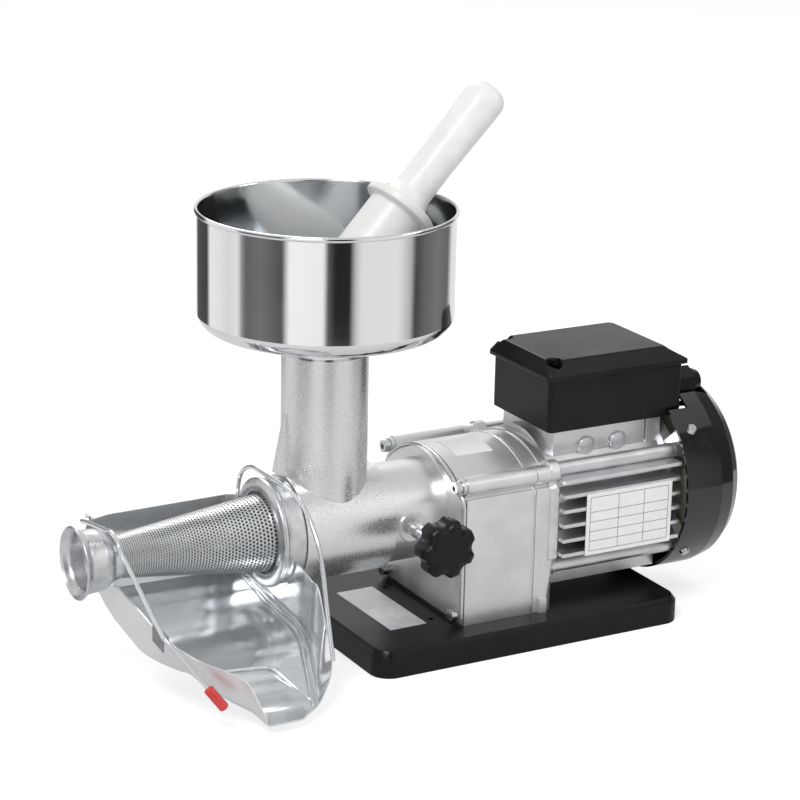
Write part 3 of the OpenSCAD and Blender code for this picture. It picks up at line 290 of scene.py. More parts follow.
def rounded(points, radii, steps=6):
    """Profile whose inner corners become quadratic curves: each starts and ends radius * tan(half the turn)
    from its corner, but no further than 0.45 of either side. Almost straight corners stay."""
    points = [np.array(p, dtype=float) for p in points]
    out = [points[0]]
    for before, corner, after, r in zip(points, points[1:], points[2:], radii[1:]):
        u, v = before - corner, after - corner
        lu, lv = np.linalg.norm(u), np.linalg.norm(v)
        u, v = u / lu, v / lv
        half = math.acos(float(np.clip(np.dot(u, v), -1, 1))) / 2
        if r <= 0 or half > math.pi / 2 - 0.02:
            out.append(corner)
            continue
        reach = min(r / math.tan(half), 0.45 * lu, 0.45 * lv)
        start, end = corner + u * reach, corner + v * reach
        t = np.linspace(0, 1, steps + 1)[:, None]
        out.extend((1 - t) ** 2 * start + 2 * t * (1 - t) * corner + t ** 2 * end)
    out.append(points[-1])
    return np.array(out)


def outward(mesh, weld=0.0):
    """Turns every face of a closed mesh outwards, after joining points within weld metres of each other."""
    work = bmesh.new()
    work.from_mesh(mesh)
    if weld:
        bmesh.ops.remove_doubles(work, verts=work.verts, dist=weld)
    bmesh.ops.recalc_face_normals(work, faces=work.faces)
    work.to_mesh(mesh)
    work.free()


def spun_x(name, profile, material, body, stands_for=(), angle=32):
    """Revolve about the machine axis: closed profile of (x, radius), carried round in 128 steps."""
    turns = 128
    p = np.asarray(profile, dtype=float) * MM
    a = np.linspace(0, 2 * math.pi, turns, endpoint=False)
    x = np.repeat(p[:, 0][:, None], turns, 1)
    y = p[:, 1][:, None] * np.cos(a)
    z = AXIS * MM + p[:, 1][:, None] * np.sin(a)
    solid_from(name, np.stack([x, y, z], -1), grid_faces(len(p), turns, True, True), material, body,
               stands_for, angle)


def spun_z(name, profile, middle, material, body, stands_for, turns, angle, closed=True):
    """Revolve about an upright axis at middle (x, y): profile of (radius, z), closed on itself, or open with
    both its ends on the axis."""
    p = np.asarray(profile, dtype=float) * MM
    a = np.linspace(0, 2 * math.pi, turns, endpoint=False)
    x = middle[0] * MM + p[:, 0][:, None] * np.cos(a)
    y = middle[1] * MM + p[:, 0][:, None] * np.sin(a)
    z = np.repeat(p[:, 1][:, None], turns, 1)
    faces = grid_faces(len(p), turns, closed, True)[:, ::-1]
    piece = solid_from(name, np.stack([x, y, z], -1), faces, material, body, stands_for, angle)
    if not closed:
        outward(piece.data, 2.5e-5)
    return piece


def second_finish(piece, material, first_face):
    """Gives the faces from an index on a second material."""
    mesh = piece.data
    mesh.materials.append(material)
    later = np.arange(len(mesh.polygons)) >= first_face
    mesh.polygons.foreach_set("material_index", later.astype(np.int32))


def tube(name, points, radius, material, body, stands_for=(), sides=16, per_span=8):
    """Round wire along a cubic curve through points, on which the slope at each point is half the step
    between its neighbours; each ring's frame is the last one turned as little as possible. Two smaller rings
    dome each end, given as share of the radius outwards and share of the radius wide."""
    dome = [(0.2, 0.85), (0.35, 0.5)]
    p = np.array(points, dtype=float) * MM
    r = radius * MM
    ext = np.vstack([2 * p[0] - p[1], p, 2 * p[-1] - p[-2]])
    t = np.linspace(0, 1, per_span, endpoint=False)[:, None]
    spans = []
    for i in range(len(p) - 1):
        a, b, c, d = ext[i:i + 4]
        spans.append(0.5 * (2 * b + (c - a) * t + (2 * a - 5 * b + 4 * c - d) * t ** 2
                            + (3 * b - a - 3 * c + d) * t ** 3))
    path = np.vstack(spans + [p[-1:]])
    along = np.gradient(path, axis=0)
    along /= np.linalg.norm(along, axis=1)[:, None]
    side = np.cross(along[0], (0.3, 0.2, 0.9))
    side /= np.linalg.norm(side)
    a = np.linspace(0, 2 * math.pi, sides, endpoint=False)
    rings = []
    for k, (at, ahead) in enumerate(zip(path, along)):
        side = side - np.dot(side, ahead) * ahead
        side /= np.linalg.norm(side)
        circle = np.cos(a)[:, None] * side + np.sin(a)[:, None] * np.cross(ahead, side)
        if k == 0:
            rings += [at - out * r * ahead + wide * r * circle for out, wide in reversed(dome)]
        rings.append(at + r * circle)
        if k == len(path) - 1:
            rings += [at + out * r * ahead + wide * r * circle for out, wide in dome]
    faces = grid_faces(len(rings), sides, False, True).tolist()
    faces.append(list(range(sides - 1, -1, -1)))
    last = (len(rings) - 1) * sides
    faces.append([last + k for k in range(sides)])
    solid_from(name, np.array(rings), faces, material, body, stands_for, 60)


# Press pieces: the feed tube's axis, and the strainer cone from small end to large end, with its holed part

TUBE_X = -126.0
CONE_X = (-278.0, -169.4)
CONE_R = (13.8, 26.5)
CONE_SHEET = 1.0
CONE_SLOPE = (CONE_R[1] - CONE_R[0]) / (CONE_X[1] - CONE_X[0])
HOLED_X = (CONE_X[0] + 2.0, CONE_X[1] - 3.0)
HOLED_R = (CONE_R[0] + 2.0 * CONE_SLOPE, CONE_R[1] - 3.0 * CONE_SLOPE)


def strainer_sheet():
    """Perforated cone: rows of staggered holes, each row a fixed ratio wider than the last so that cells keep
    their shape; a cell is a ring of eight border points joined to eight points of its round hole, outside and
    inside, with the hole's wall between."""
    around, rows = 60, 52
    tall, hole_share = 1.15, 0.36
    start, end = HOLED_R
    growth = (end / start) ** (1 / rows)
    border = np.array([(-.5, 0), (0, 0), (.5, 0), (.5, .5), (.5, 1), (0, 1), (-.5, 1), (-.5, .5)])
    bearing = np.arctan2((border[:, 1] - 0.5) * tall, border[:, 0])
    hole = np.stack([hole_share * np.cos(bearing), 0.5 + hole_share / tall * np.sin(bearing)], 1)
    cell = np.concatenate([border, hole])
    i, j = np.meshgrid(np.arange(rows), np.arange(around), indexing="ij")
    u = cell[:, 0] + j[..., None] + 0.5 * (i[..., None] % 2)
    radius = start * growth ** (cell[:, 1] + i[..., None])
    x = CONE_X[0] + (radius - CONE_R[0]) / CONE_SLOPE
    turn = 2 * math.pi * u / around
    layers = []
    for depth in (0.0, CONE_SHEET):
        r = (radius - depth) * MM
        layers.append(np.stack([x * MM, r * np.cos(turn), AXIS * MM + r * np.sin(turn)], -1).reshape(-1, 3))
    k = np.arange(8)
    n = (k + 1) % 8
    ring = np.stack([k, n, n + 8, k + 8], 1)
    base = np.arange(rows * around)[:, None, None] * 16
    total = rows * around * 16
    skin = (ring[None] + base).reshape(-1, 4)
    wall = (np.stack([k + 8, n + 8, n + 8 + total, k + 8 + total], 1)[None] + base).reshape(-1, 4)
    ends = np.concatenate([base[:around, 0] + [0, 1], base[:around, 0] + [1, 2],
                           base[-around:, 0] + [4, 5], base[-around:, 0] + [5, 6]])
    rims = np.stack([ends[:, 0], ends[:, 1], ends[:, 1] + total, ends[:, 0] + total], 1)
    faces = np.concatenate([skin, skin[:, ::-1] + total, wall, rims])
    points = np.concatenate(layers)
    piece = solid_from("strainer_sheet", points, faces, strainer, "press", ("strainer_cone",), 40)
    # The inside skin, hole walls and rims take the painted shade
    second_finish(piece, strainer_shade_paint, len(skin))
    outward(piece.data, 1e-6)


def strainer_ends():
    """Plain bands at both ends of the perforated cone and its flange in the clamp ring, one closed profile
    each. Both lap over the holed part by 0.3 mm."""
    lap = 0.3
    x, r = HOLED_X[0] + lap, HOLED_R[0] + lap * CONE_SLOPE
    small_x, small_r = CONE_X[0], CONE_R[0]
    small = [(-284, small_r - CONE_SHEET), (-284, small_r), (small_x, small_r), (x, r), (x, r - CONE_SHEET),
             (small_x, small_r - CONE_SHEET)]
    spun_x("strainer_small_end", small, strainer, "press")
    x, r = HOLED_X[1] - lap, HOLED_R[1] - lap * CONE_SLOPE
    large_x, large_r = CONE_X[1], CONE_R[1]
    large = [(x, r - CONE_SHEET), (x, r), (large_x - 0.6, large_r), (large_x, 27), (large_x, 30.5),
             (-165.35, 30.5), (-165.35, 25.5), (large_x - 1, 25.5)]
    spun_x("strainer_large_end", large, strainer, "press")


def feed_bowl():
    """Deep-drawn bowl as one closed profile of sheet: spigot, dished bottom, wall and rolled rim."""
    sheet, turns = 1.2, 192
    top, wall, spigot = 305.4, 84.5, 26.5
    outer = rounded([(spigot, 190.7), (spigot, 213), (wall - 5, 226.4), (wall, 233.6), (wall, top - 3.4)],
                    [0, 4, 12, 7, 0], 10)
    rim = [(wall + 0.3 + 1.35 * math.cos(a), top - 1.75 + 1.7 * math.sin(a))
           for a in np.linspace(-1.4, 3.3, 14)]
    dished = (outer[:, 0] > spigot + 0.5) & (outer[:, 1] < 229)
    inner = np.stack([outer[:, 0] - sheet, outer[:, 1] + np.where(dished, sheet, 0)], 1)[::-1]
    profile = np.concatenate([outer, rim, inner])
    bowl = spun_z("feed_bowl", profile, (TUBE_X, 0), mirror, "hopper", ("bowl",), turns, 50)
    second_finish(bowl, bowl_inside, (len(outer) + len(rim) - 2) * turns)
    outward(bowl.data)


def waste_nozzle():
    """Turned nozzle: flared mouth with a rounded lip, bell, shoulder and bayonet neck."""
    outer = rounded([(-305.6, 23.6), (-304.6, 24.5), (-303.2, 23.4), (-300.6, 21.2), (-289.6, 20.3),
                     (-285.6, 18.9), (-282.6, 15.8), (-278.3, 15.2)], [0, 1, 2, 6, 10, 4, 2, 0])
    inner = rounded([(-278.3, 13.85), (-285, 13.85), (-286.6, 17.2), (-290.6, 18.9), (-300.6, 19.9),
                     (-304, 22.6), (-305.6, 23.6)], [0, 0.5, 3, 10, 6, 2, 0])
    spun_x("waste_nozzle", np.concatenate([outer, inner[:-1]]), tinned, "spout", ("nozzle",), 50)


def clamp_collar():
    """Turned clamp ring: full round bead at the front, groove, and plain skirt over the barrel's nose."""
    outer = rounded([(-173.6, 28.6), (-173.6, 33), (-172.6, 37), (-169.4, 37), (-168.2, 35.2), (-166.4, 35.6),
                     (-155.9, 35.6), (-155.9, 31.6)], [0, 2, 2.5, 2.5, 1.5, 2, 0.8, 0])
    inner = [(-169.7, 31.55), (-169.7, 28), (-173.2, 28)]
    spun_x("clamp_collar", np.concatenate([outer, inner]), tinned, "ring", ("clamp_ring",), 40)


def pusher_stick():
    """Moulded pestle, made upright and then leaned into the bowl: tamper, flange with a rounded rim, tapered
    neck, handle with a domed end."""
    reach, end = 87.0, 189.4
    flange, neck, grip, crown_r = 25.5, 13.2, 14.4, 9.6
    a = np.linspace(0, math.pi / 2, 12)
    crown = np.stack([grip - crown_r * (1 - np.cos(a)), end - crown_r * (1 - np.sin(a))], 1)
    body = rounded([(0.01, -26), (20, -26), (20, reach - 5), (flange, reach - 3), (flange, reach + 2.4),
                    (16, reach + 5), (neck, reach + 12), (neck, reach + 40), (grip, end - 16),
                    (grip, end - 11)], [0, 3.5, 2, 1.6, 1.8, 6, 12, 40, 20, 0], 8)
    profile = np.concatenate([body, crown, [(0.01, end)]])
    piece = spun_z("pusher_stick", profile, (0, 0), white_pe, "pusher", ("pestle",), 96, 40, closed=False)
    heading, lean = math.radians(4.9), math.radians(44.6)
    place = Matrix.Translation(Vector((TUBE_X - 4, -0.3, 236)) * MM) @ Matrix.Rotation(heading, 4, "Z")
    piece.data.transform(place @ Matrix.Rotation(lean, 4, "Y") @ Matrix.Translation((0, 0, 0.6 * MM)))


# Drip chute: each row is a y, then x and z of the left wall's head and foot, and of the right wall's foot and
# head; each wall has a round notch about the machine axis

CHUTE = np.array([
    (46, -278, 93, -272, 48.5, -166, 47, -164.5, 99),
    (34, -278.5, 88, -273, 46, -165.5, 45, -164, 97),
    (18, -278.5, 80, -275, 43, -165, 41.5, -163.5, 92),
    (0, -278.5, 74, -276, 40, -164.5, 38, -163, 86),
    (-20, -278.5, 70, -276, 37, -164, 35.5, -163, 80),
    (-40, -278.5, 68, -275, 34, -164, 33, -163.5, 76),
    (-52, -278.5, 66.5, -270, 32, -165.5, 30.5, -165, 75),
    (-62, -278.5, 65, -264, 30.5, -168, 26.5, -166, 74),
    (-73, -277.5, 63, -256, 29, -172, 22, -167.5, 73),
    (-82, -274, 58.5, -248, 22, -175, 18, -167, 54),
    (-91, -262, 49.5, -239, 15.5, -178, 14.5, -166.5, 31),
    (-106, -234, 34.5, -229, 10, -183.5, 9.5, -181, 13),
    (-119, -226, 14, -225, 8, -200, 8, -199, 10.5)], dtype=float)
NOTCHES = (19.0, 37.4)


def chute_rows(y):
    """Rows of the chute's table at given y, by a cubic with slopes from the rows' differences."""
    table = CHUTE[::-1]
    at = table[:, 0]
    slope = np.gradient(table, at, axis=0) * 0.8
    k = np.clip(np.searchsorted(at, y, side="right") - 1, 0, len(at) - 2)
    h = (at[k + 1] - at[k])[:, None]
    t = ((y - at[k])[:, None]) / h
    return ((2 * t ** 3 - 3 * t ** 2 + 1) * table[k] + (t ** 3 - 2 * t ** 2 + t) * h * slope[k]
            + (3 * t ** 2 - 2 * t ** 3) * table[k + 1] + (t ** 3 - t ** 2) * h * slope[k + 1])


def lowered(foot, head, y, radius):
    """Wall heads brought down to a round notch of a radius about the machine axis."""
    notch = AXIS - np.sqrt(np.maximum(radius ** 2 - y ** 2, 0))
    limit = np.where(np.abs(y) < radius, np.minimum(head[:, 1], notch), head[:, 1])
    share = (limit - foot[:, 1]) / (head[:, 1] - foot[:, 1])
    return foot + (head - foot) * share[:, None]


def unit(v):
    """Rows of v brought to length one."""
    return v / np.linalg.norm(v, axis=-1)[..., None]


def across_line(a, b, steps, last=False):
    """Points from a to b in each row."""
    t = np.linspace(0, 1, steps, endpoint=last)[None, :, None]
    return a[:, None] * (1 - t) + b[:, None] * t


def across_bend(a, corner, b, steps):
    """Points of a quadratic curve from a to b round a corner in each row."""
    t = np.linspace(0, 1, steps, endpoint=False)[None, :, None]
    return (1 - t) ** 2 * a[:, None] + 2 * t * (1 - t) * corner[:, None] + t ** 2 * b[:, None]


def chute_sheet():
    """Folded chute: across each row the sheet runs down the left wall, round a bend, over the floor, round a
    tighter bend and up the right wall; the back is offset by the thickness along the surface normal."""
    thick = 1.15
    edges = [radius - d for radius in NOTCHES for d in (0.02, 0.3, 1.0, 2.2)]
    y = np.unique(np.concatenate([np.linspace(-119, 46, 180), edges, [-e for e in edges]]))[::-1]
    rows = chute_rows(y)
    left_foot, right_foot = rows[:, 3:5], rows[:, 5:7]
    left_head = lowered(left_foot, rows[:, 1:3], y, NOTCHES[0])
    right_head = lowered(right_foot, rows[:, 7:9], y, NOTCHES[1])
    left_tall = np.linalg.norm(left_head - left_foot, axis=1)[:, None]
    right_tall = np.linalg.norm(right_head - right_foot, axis=1)[:, None]
    floor = unit(right_foot - left_foot)
    reach = 9 * np.minimum(1, left_tall / 30)
    a = left_foot + unit(left_head - left_foot) * reach
    b = left_foot + floor * reach
    c = right_foot - floor * 3
    d = right_foot + unit(right_head - right_foot) * np.minimum(3, 0.4 * right_tall)
    across = np.concatenate([across_line(left_head, a, 14), across_bend(a, left_foot, b, 9),
                             across_line(b, c, 20), across_bend(c, right_foot, d, 7),
                             across_line(d, right_head, 14, True)], axis=1)
    n, m = across.shape[:2]
    inner = np.stack([across[..., 0], np.repeat(y[:, None], m, 1), across[..., 1]], -1)
    normal = unit(np.cross(np.gradient(inner, axis=1), np.gradient(inner, axis=0)))
    if normal[n // 2, m // 2, 2] < 0:
        normal = -normal
    outer = inner - thick * normal
    outer[..., 1] = inner[..., 1]
    front = grid_faces(n, m)
    total = n * m
    left, bottom = np.arange(n - 1) * m, np.arange(m - 1)
    right, top = left + m - 1, bottom + (n - 1) * m
    rims = [(left, left + m), (right + m, right), (bottom + 1, bottom), (top, top + 1)]
    rim = np.concatenate([np.stack([p, q, q + total, p + total], 1) for p, q in rims])
    points = np.concatenate([inner.reshape(-1, 3), outer.reshape(-1, 3)]) * MM
    faces = np.concatenate([front[:, ::-1], front + total, rim])
    piece = solid_from("chute_sheet", points, faces, satin, "press", ("drip_chute",), 40)
    second_finish(piece, sheet_back, len(front))
    outward(piece.data)


def prism(name, low, high, material, body):
    """Closed piece between two outlines with equal numbers of points, joined side by side."""
    n = len(low)
    sides = [(k, (k + 1) % n, (k + 1) % n + n, k + n) for k in range(n)]
    faces = [tuple(range(n)), tuple(range(2 * n - 1, n - 1, -1))] + sides
    piece = solid_from(name, np.concatenate([low, high]) * MM, faces, material, body)
    outward(piece.data)


def plate_xz(name, outline, y0, y1, material, body):
    """Flat plate with an outline in x and z between two y."""
    low, high = (np.array([(x, y, z) for x, z in outline], dtype=float) for y in (y0, y1))
    prism(name, low, high, material, body)


def box(name, low, high, material, body):
    """Plain box between two corners."""
    (x0, y0, z0), (x1, y1, z1) = low, high
    plate_xz(name, [(x0, z0), (x1, z0), (x1, z1), (x0, z1)], y0, y1, material, body)


def chute_fittings():
    """Back wall with its rounded head, folded catch for the bail, and pivot ear, as on the CAD piece."""
    wall = rounded([(-219, 47), (-272, 47.2), (-278.8, 88), (-277.4, 98), (-262, 100.5), (-176, 101.5),
                    (-164, 99.5), (-165.8, 46.4), (-219, 47)], [0, 0.5, 12, 12, 20, 20, 9, 0.5, 0], 8)[:-1]
    plate_xz("chute_back_wall", wall, 45.2, 46.4, satin, "press")
    hook = [(-280.1, -9), (-280.1, 1.2), (-276.2, 1.2), (-276.2, -1.5), (-277, -1.5), (-277, 0.3),
            (-279.3, 0.3), (-279.3, -9)]
    low, high = (np.array([(x + dx, y, z + up) for x, z in hook])
                 for y, dx, up in ((-66, 0, 64.6), (-78.5, 1.7, 60.6)))
    prism("chute_catch", low, high, tab_steel, "press")
    box("bail_ear", (-275.6, 45.9, 94), (-274.1, 52.6, 101), satin, "press")


def chute_beads():
    """Beads pressed into the chute: the double seam along its right wall and the crease before the lip."""
    seam = [(-166.6, 36, 46.2), (-165, 18, 43), (-164.8, 0, 39.6), (-164.4, -20, 37), (-164.6, -38, 34.8),
            (-167, -55, 31.2), (-171.6, -70, 25.6), (-176, -84, 19), (-181, -98, 13.2), (-184.4, -108, 9.6)]
    for name, inwards in (("seam_outer", 0.2), ("seam_inner", 3.6)):
        tube(name, [(x - inwards, y, z + 0.2) for x, y, z in seam], 0.8, satin, "press", (), 10, 6)
    crease = [(-249, -72, 30), (-236, -73, 28.8), (-220, -73, 27.6), (-205, -73.5, 26.2), (-199, -77, 24),
              (-192, -88, 16.5), (-186, -101, 10.4)]
    tube("crease_bead", crease, 1.0, satin, "press", (), 10, 6)


def press_wires():
    """Rear wire hanger, front wire bail closing over the nozzle's neck, and the grip dipped on its lever."""
    wire, ring, neck = 1.5, 35.6, 15.4
    top = AXIS + ring + wire + 0.3
    hanger = [(48.2, 88), (48.2, 104), (42, 117), (28, 125), (12, top), (-12, top + 0.6), (-32, top),
              (-50, 121), (-65.6, 107.5), (-75.3, 92.5), (-80.5, 74), (-86.5, 52), (-93, 31)]
    tube("rear_wire", [(-166, y, z) for y, z in hanger], wire, satin, "press", ("rear_hanger",))
    over = neck + wire + 0.6
    arc = [(-279.6, over * math.cos(math.radians(a)), AXIS + over * math.sin(math.radians(a)))
           for a in range(66, 150, 9)]
    pivot = [(-271.6, 48.9, 97.5), (-278.4, 48.9, 97.5), (-279.6, 46.9, 97.9), (-279.6, 36, 100.1)]
    lever = [(-279.6, -30, 90.2), (-279.6, -75.5, 66.4), (-279, -85, 62), (-273.6, -89.5, 56),
             (-257, -100, 31)]
    tube("bail_wire", pivot + arc + lever, wire, satin, "bail", ("front_bail",))
    sleeve = [(-257.2, -99.8, 31.2), (-253, -102.8, 25.2), (-249, -105.4, 19.6)]
    tube("bail_sleeve", sleeve, 3.3, vinyl, "bail", ("bail_grip",))


def lobed_knob():
    """Seven-lobed knob: the outline radius is the lesser, softly blended, of the tip circle and the scallops.
    Each row is a depth, an inset from the outline, a share of plain circle and that circle's radius, so that
    the side is rounded over at both faces and the front is slightly crowned."""
    tip, scoop, scoop_at, blend = 20.2, 7.2, 24.4, 1.4
    a = np.linspace(0, 2 * math.pi, 280, endpoint=False)
    away = (a + math.pi / 7) % (2 * math.pi / 7) - math.pi / 7
    under = np.maximum(scoop ** 2 - (scoop_at * np.sin(away)) ** 2, 0)
    scallop = np.where(under > 0, scoop_at * np.cos(away) - np.sqrt(under), scoop_at)
    outline = -np.log(np.exp(-blend * tip) + np.exp(-blend * scallop)) / blend
    rows = [(0, 0, 1, 4.9), (0, 0, 1, 10.4), (0.5, 0, 1, 11), (3, 0, 1, 11), (3, 7, 0, 0), (3.2, 3, 0, 0),
            (3.8, 1.4, 0, 0), (5, 0.4, 0, 0), (7, 0, 0, 0), (14.6, 0, 0, 0), (17, 0.35, 0, 0),
            (18.8, 1.3, 0, 0), (20, 2.8, 0, 0), (20.9, 5.2, 0, 0), (21.3, 7, 0.5, 9.9), (21.5, 0, 1, 8),
            (21.7, 0, 1, 6), (21.9, 0, 1, 3), (21.95, 0, 1, 0.02)]
    points = []
    for depth, inset, plain_share, circle in rows:
        radius = (outline - inset) * (1 - plain_share) + circle * plain_share
        points.append(np.stack([-76.5 + radius * np.cos(a), np.full_like(a, -67 - depth),
                                AXIS + radius * np.sin(a)], -1))
    faces = grid_faces(len(rows), len(a), False, True).tolist() + [list(range(len(a)))]
    points = np.array(points) * MM
    piece = solid_from("lobed_knob", points, faces, abs_black, "clamp_knob", ("lock_knob",), 42)
    outward(piece.data, 5e-5)


# Softened castings and mouldings

def joined(node):
    """Mesh of a CAD piece in the shared frame, for editing, with the points of its loose triangles joined."""
    work = bmesh.new()
    work.from_mesh(NODES[node].data)
    work.transform(NODES[node].matrix_world)
    bmesh.ops.remove_doubles(work, verts=work.verts, dist=2e-6)
    return work


def as_piece(work, name, material):
    """New piece with one material from an edited mesh."""
    mesh = bpy.data.meshes.new(name)
    work.to_mesh(mesh)
    work.free()
    mesh.materials.clear()
    mesh.materials.append(material)
    piece = bpy.data.objects.new(name, mesh)
    bpy.context.scene.collection.objects.link(piece)
    return piece


def baked(piece):
    """Puts the result of a piece's modifiers into its mesh."""
    finished = piece.evaluated_get(bpy.context.evaluated_depsgraph_get())
    piece.data = bpy.data.meshes.new_from_object(finished)
    piece.modifiers.clear()


def smoothed(piece, angle):
    """Smooth shading with sharp edges above an angle, in which flat faces stay flat."""
    piece.data.shade_smooth()
    piece.data.set_sharp_from_angle(angle=math.radians(angle))
    weighted = piece.modifiers.new("flat_faces_stay_flat", "WEIGHTED_NORMAL")
    weighted.keep_sharp = True
    weighted.weight = 100
    baked(piece)


def softened(name, material, body, pick, width, segments=3):
    """Copy of a CAD piece whose picked sharp outer edges are rounded; pick gets each end of an edge in mm."""
    work = joined(name)
    bmesh.ops.dissolve_limit(work, angle_limit=math.radians(0.6), verts=work.verts, edges=work.edges)
    chosen = []
    for edge in work.edges:
        if len(edge.link_faces) == 2 and edge.calc_face_angle(0) > math.radians(28):
            if edge.is_convex and all(pick(v.co * 1000) for v in edge.verts):
                chosen.append(edge)
    bmesh.ops.bevel(work, geom=chosen, offset=width * MM, segments=segments, profile=0.5, affect="EDGES",
                    clamp_overlap=False)
    bmesh.ops.dissolve_degenerate(work, dist=2e-5, edges=work.edges)
    bmesh.ops.remove_doubles(work, verts=work.verts, dist=2e-5)
    piece = as_piece(work, "soft_" + name, material)
    smoothed(piece, 40)
    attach(piece, body)
    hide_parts(name)


def past_corner(p, middle, half_x, half_y):
    """How far a point is from the straight sides' ends of a rectangle with rounded corners."""
    return math.hypot(max(abs(p.x - middle) - half_x, 0), max(abs(p.y) - half_y, 0))


def soft_mouldings():
    """Rounded edges where the photo shows them: tray, switch box lid and switch box."""
    def tray_edge(p):
        return p.z > 18.4 and (abs(p.x) > 120.6 or abs(p.y) > 73.6 or past_corner(p, 0, 107, 60) > 13.6)

    def lid_edge(p):
        outline = abs(p.y) > 40.6 or p.x < 24.2 or p.x > 138.8
        return p.z > 177 and (abs(p.y) > 33 or p.x < 36 or p.x > 120) and (p.z > 190 or outline)

    def box_edge(p):
        outline = abs(p.y) > 37 or p.x < 28 or p.x > 135
        return p.z < 140.1 and (outline or past_corner(p, 81.5, 50.5, 34) > 3.8)

    softened("base_tray", abs_black, "machine", tray_edge, 2.2, 4)
    softened("switch_box_lid", abs_black, "machine", lid_edge, 1.2)
    softened("switch_box", abs_black, "machine", box_edge, 1.2)


# Gearbox: an arch about a point below the machine axis, between two upright sides. Each lobe is a y, a height
# over that axis and a radius

ARCH_Z = 57.8
ARCH_R = 73.0
ARCH_HALF = 54.4
COVER_BACK = 22.0
LOBES = [(48, 30, 7.2), (-48, 30, 7.2), (49.5, 28.5, 6.9), (-49.5, 28.5, 6.9)]


def flange_cutter():
    """Band from the gearbox outline plus a lip out to 68 mm, over the upper 240 degrees about the machine
    axis, with room for a lobe round each tie rod and corner boss."""
    lip, far_out = 0.9, 68.0
    below = AXIS - ARCH_Z
    a = np.radians(np.linspace(-30, 210, 241))
    arch = -below * np.sin(a) + np.sqrt((ARCH_R + lip) ** 2 - (below * np.cos(a)) ** 2)
    upright = (ARCH_HALF + lip) / np.maximum(np.abs(np.cos(a)), 0.02)
    keep = np.minimum(np.where(np.sin(a) > 0, arch, 99), upright)
    for y, z, r in LOBES:
        far = math.hypot(y, z)
        ahead = far * np.cos(a - math.atan2(z, y))
        off = far * np.sin(a - math.atan2(z, y))
        edge = ahead + np.sqrt(np.maximum(r ** 2 - off ** 2, 0))
        keep = np.maximum(keep, np.where((np.abs(off) < r) & (ahead > 0), edge, 0))
    x0, x1 = COVER_BACK - 3.15, COVER_BACK + 5
    rest = np.full_like(a, far_out)
    points = np.array([np.stack([np.full_like(a, x), r * np.cos(a), AXIS + r * np.sin(a)], -1)
                       for x, r in ((x0, keep), (x1, keep), (x1, rest), (x0, rest))])
    n = len(a)
    ends = [[0, n, 2 * n, 3 * n], [4 * n - 1, 3 * n - 1, 2 * n - 1, n - 1]]
    mesh = bpy.data.meshes.new("flange_cutter")
    mesh.from_pydata((points.reshape(-1, 3) * MM).tolist(), [], grid_faces(4, n, True, False).tolist() + ends)
    outward(mesh)
    cutter = bpy.data.objects.new("flange_cutter", mesh)
    bpy.context.scene.collection.objects.link(cutter)
    return cutter


def trimmed_cover():
    """Rear cover whose round motor flange is cut back to the gearbox outline plus a lip."""
    cutter = flange_cutter()
    piece = as_piece(joined("gearbox_cover"), "cast_cover", cast)
    cut = piece.modifiers.new("cut_flange", "BOOLEAN")
    cut.operation = "DIFFERENCE"
    cut.solver = "EXACT"
    cut.object = cutter
    baked(piece)
    bpy.data.objects.remove(cutter)
    work = bmesh.new()
    work.from_mesh(piece.data)
    bmesh.ops.remove_doubles(work, verts=work.verts, dist=5e-6)
    bmesh.ops.dissolve_degenerate(work, dist=5e-6, edges=work.edges)
    bmesh.ops.triangulate(work, faces=work.faces)
    work.to_mesh(piece.data)
    work.free()
    smoothed(piece, 25)
    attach(piece, "machine")
    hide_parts("gearbox_cover")


def gearbox_bead():
    """Raised bead along the gearbox's front outline and the joint's lip behind it: up one side, over the arch
    and down the other."""
    for name, x, grow, r in (("front_bead", -47.9, -0.75, 1.35), ("joint_lip", 6.6, -0.35, 0.9)):
        half, arch = ARCH_HALF + grow, ARCH_R + grow
        lift = math.degrees(math.acos(half / arch))
        over = [(x, arch * math.cos(math.radians(a)), ARCH_Z + arch * math.sin(math.radians(a)))
                for a in np.linspace(lift + 2.5, 177.5 - lift, 22)]
        heights = [20.5, 50, 80, 96, 103]
        up, down = [(x, half, z) for z in heights], [(x, -half, z) for z in reversed(heights)]
        tube(name, up + over + down, r, cast, "machine", (), 12, 6)


def blind_plugs():
    """Two cast blind plugs on the terminal base, over the ring grooves of the CAD piece: low domed discs."""
    disc = rounded([(0.01, 0), (6.3, 0), (6.3, 1.9), (0.01, 2.3)], [0, 0, 0.7, 0], 5)
    for name, x in (("blind_plug_front", 60), ("blind_plug_back", 86)):
        piece = spun_z(name, disc, (0, 0), motor_cast, "machine", (), 48, 32, closed=False)
        place = Matrix.Translation(Vector((x, -33, 126)) * MM) @ Matrix.Rotation(math.pi / 2, 4, "X")
        piece.data.transform(place)


# Bare plates and labels

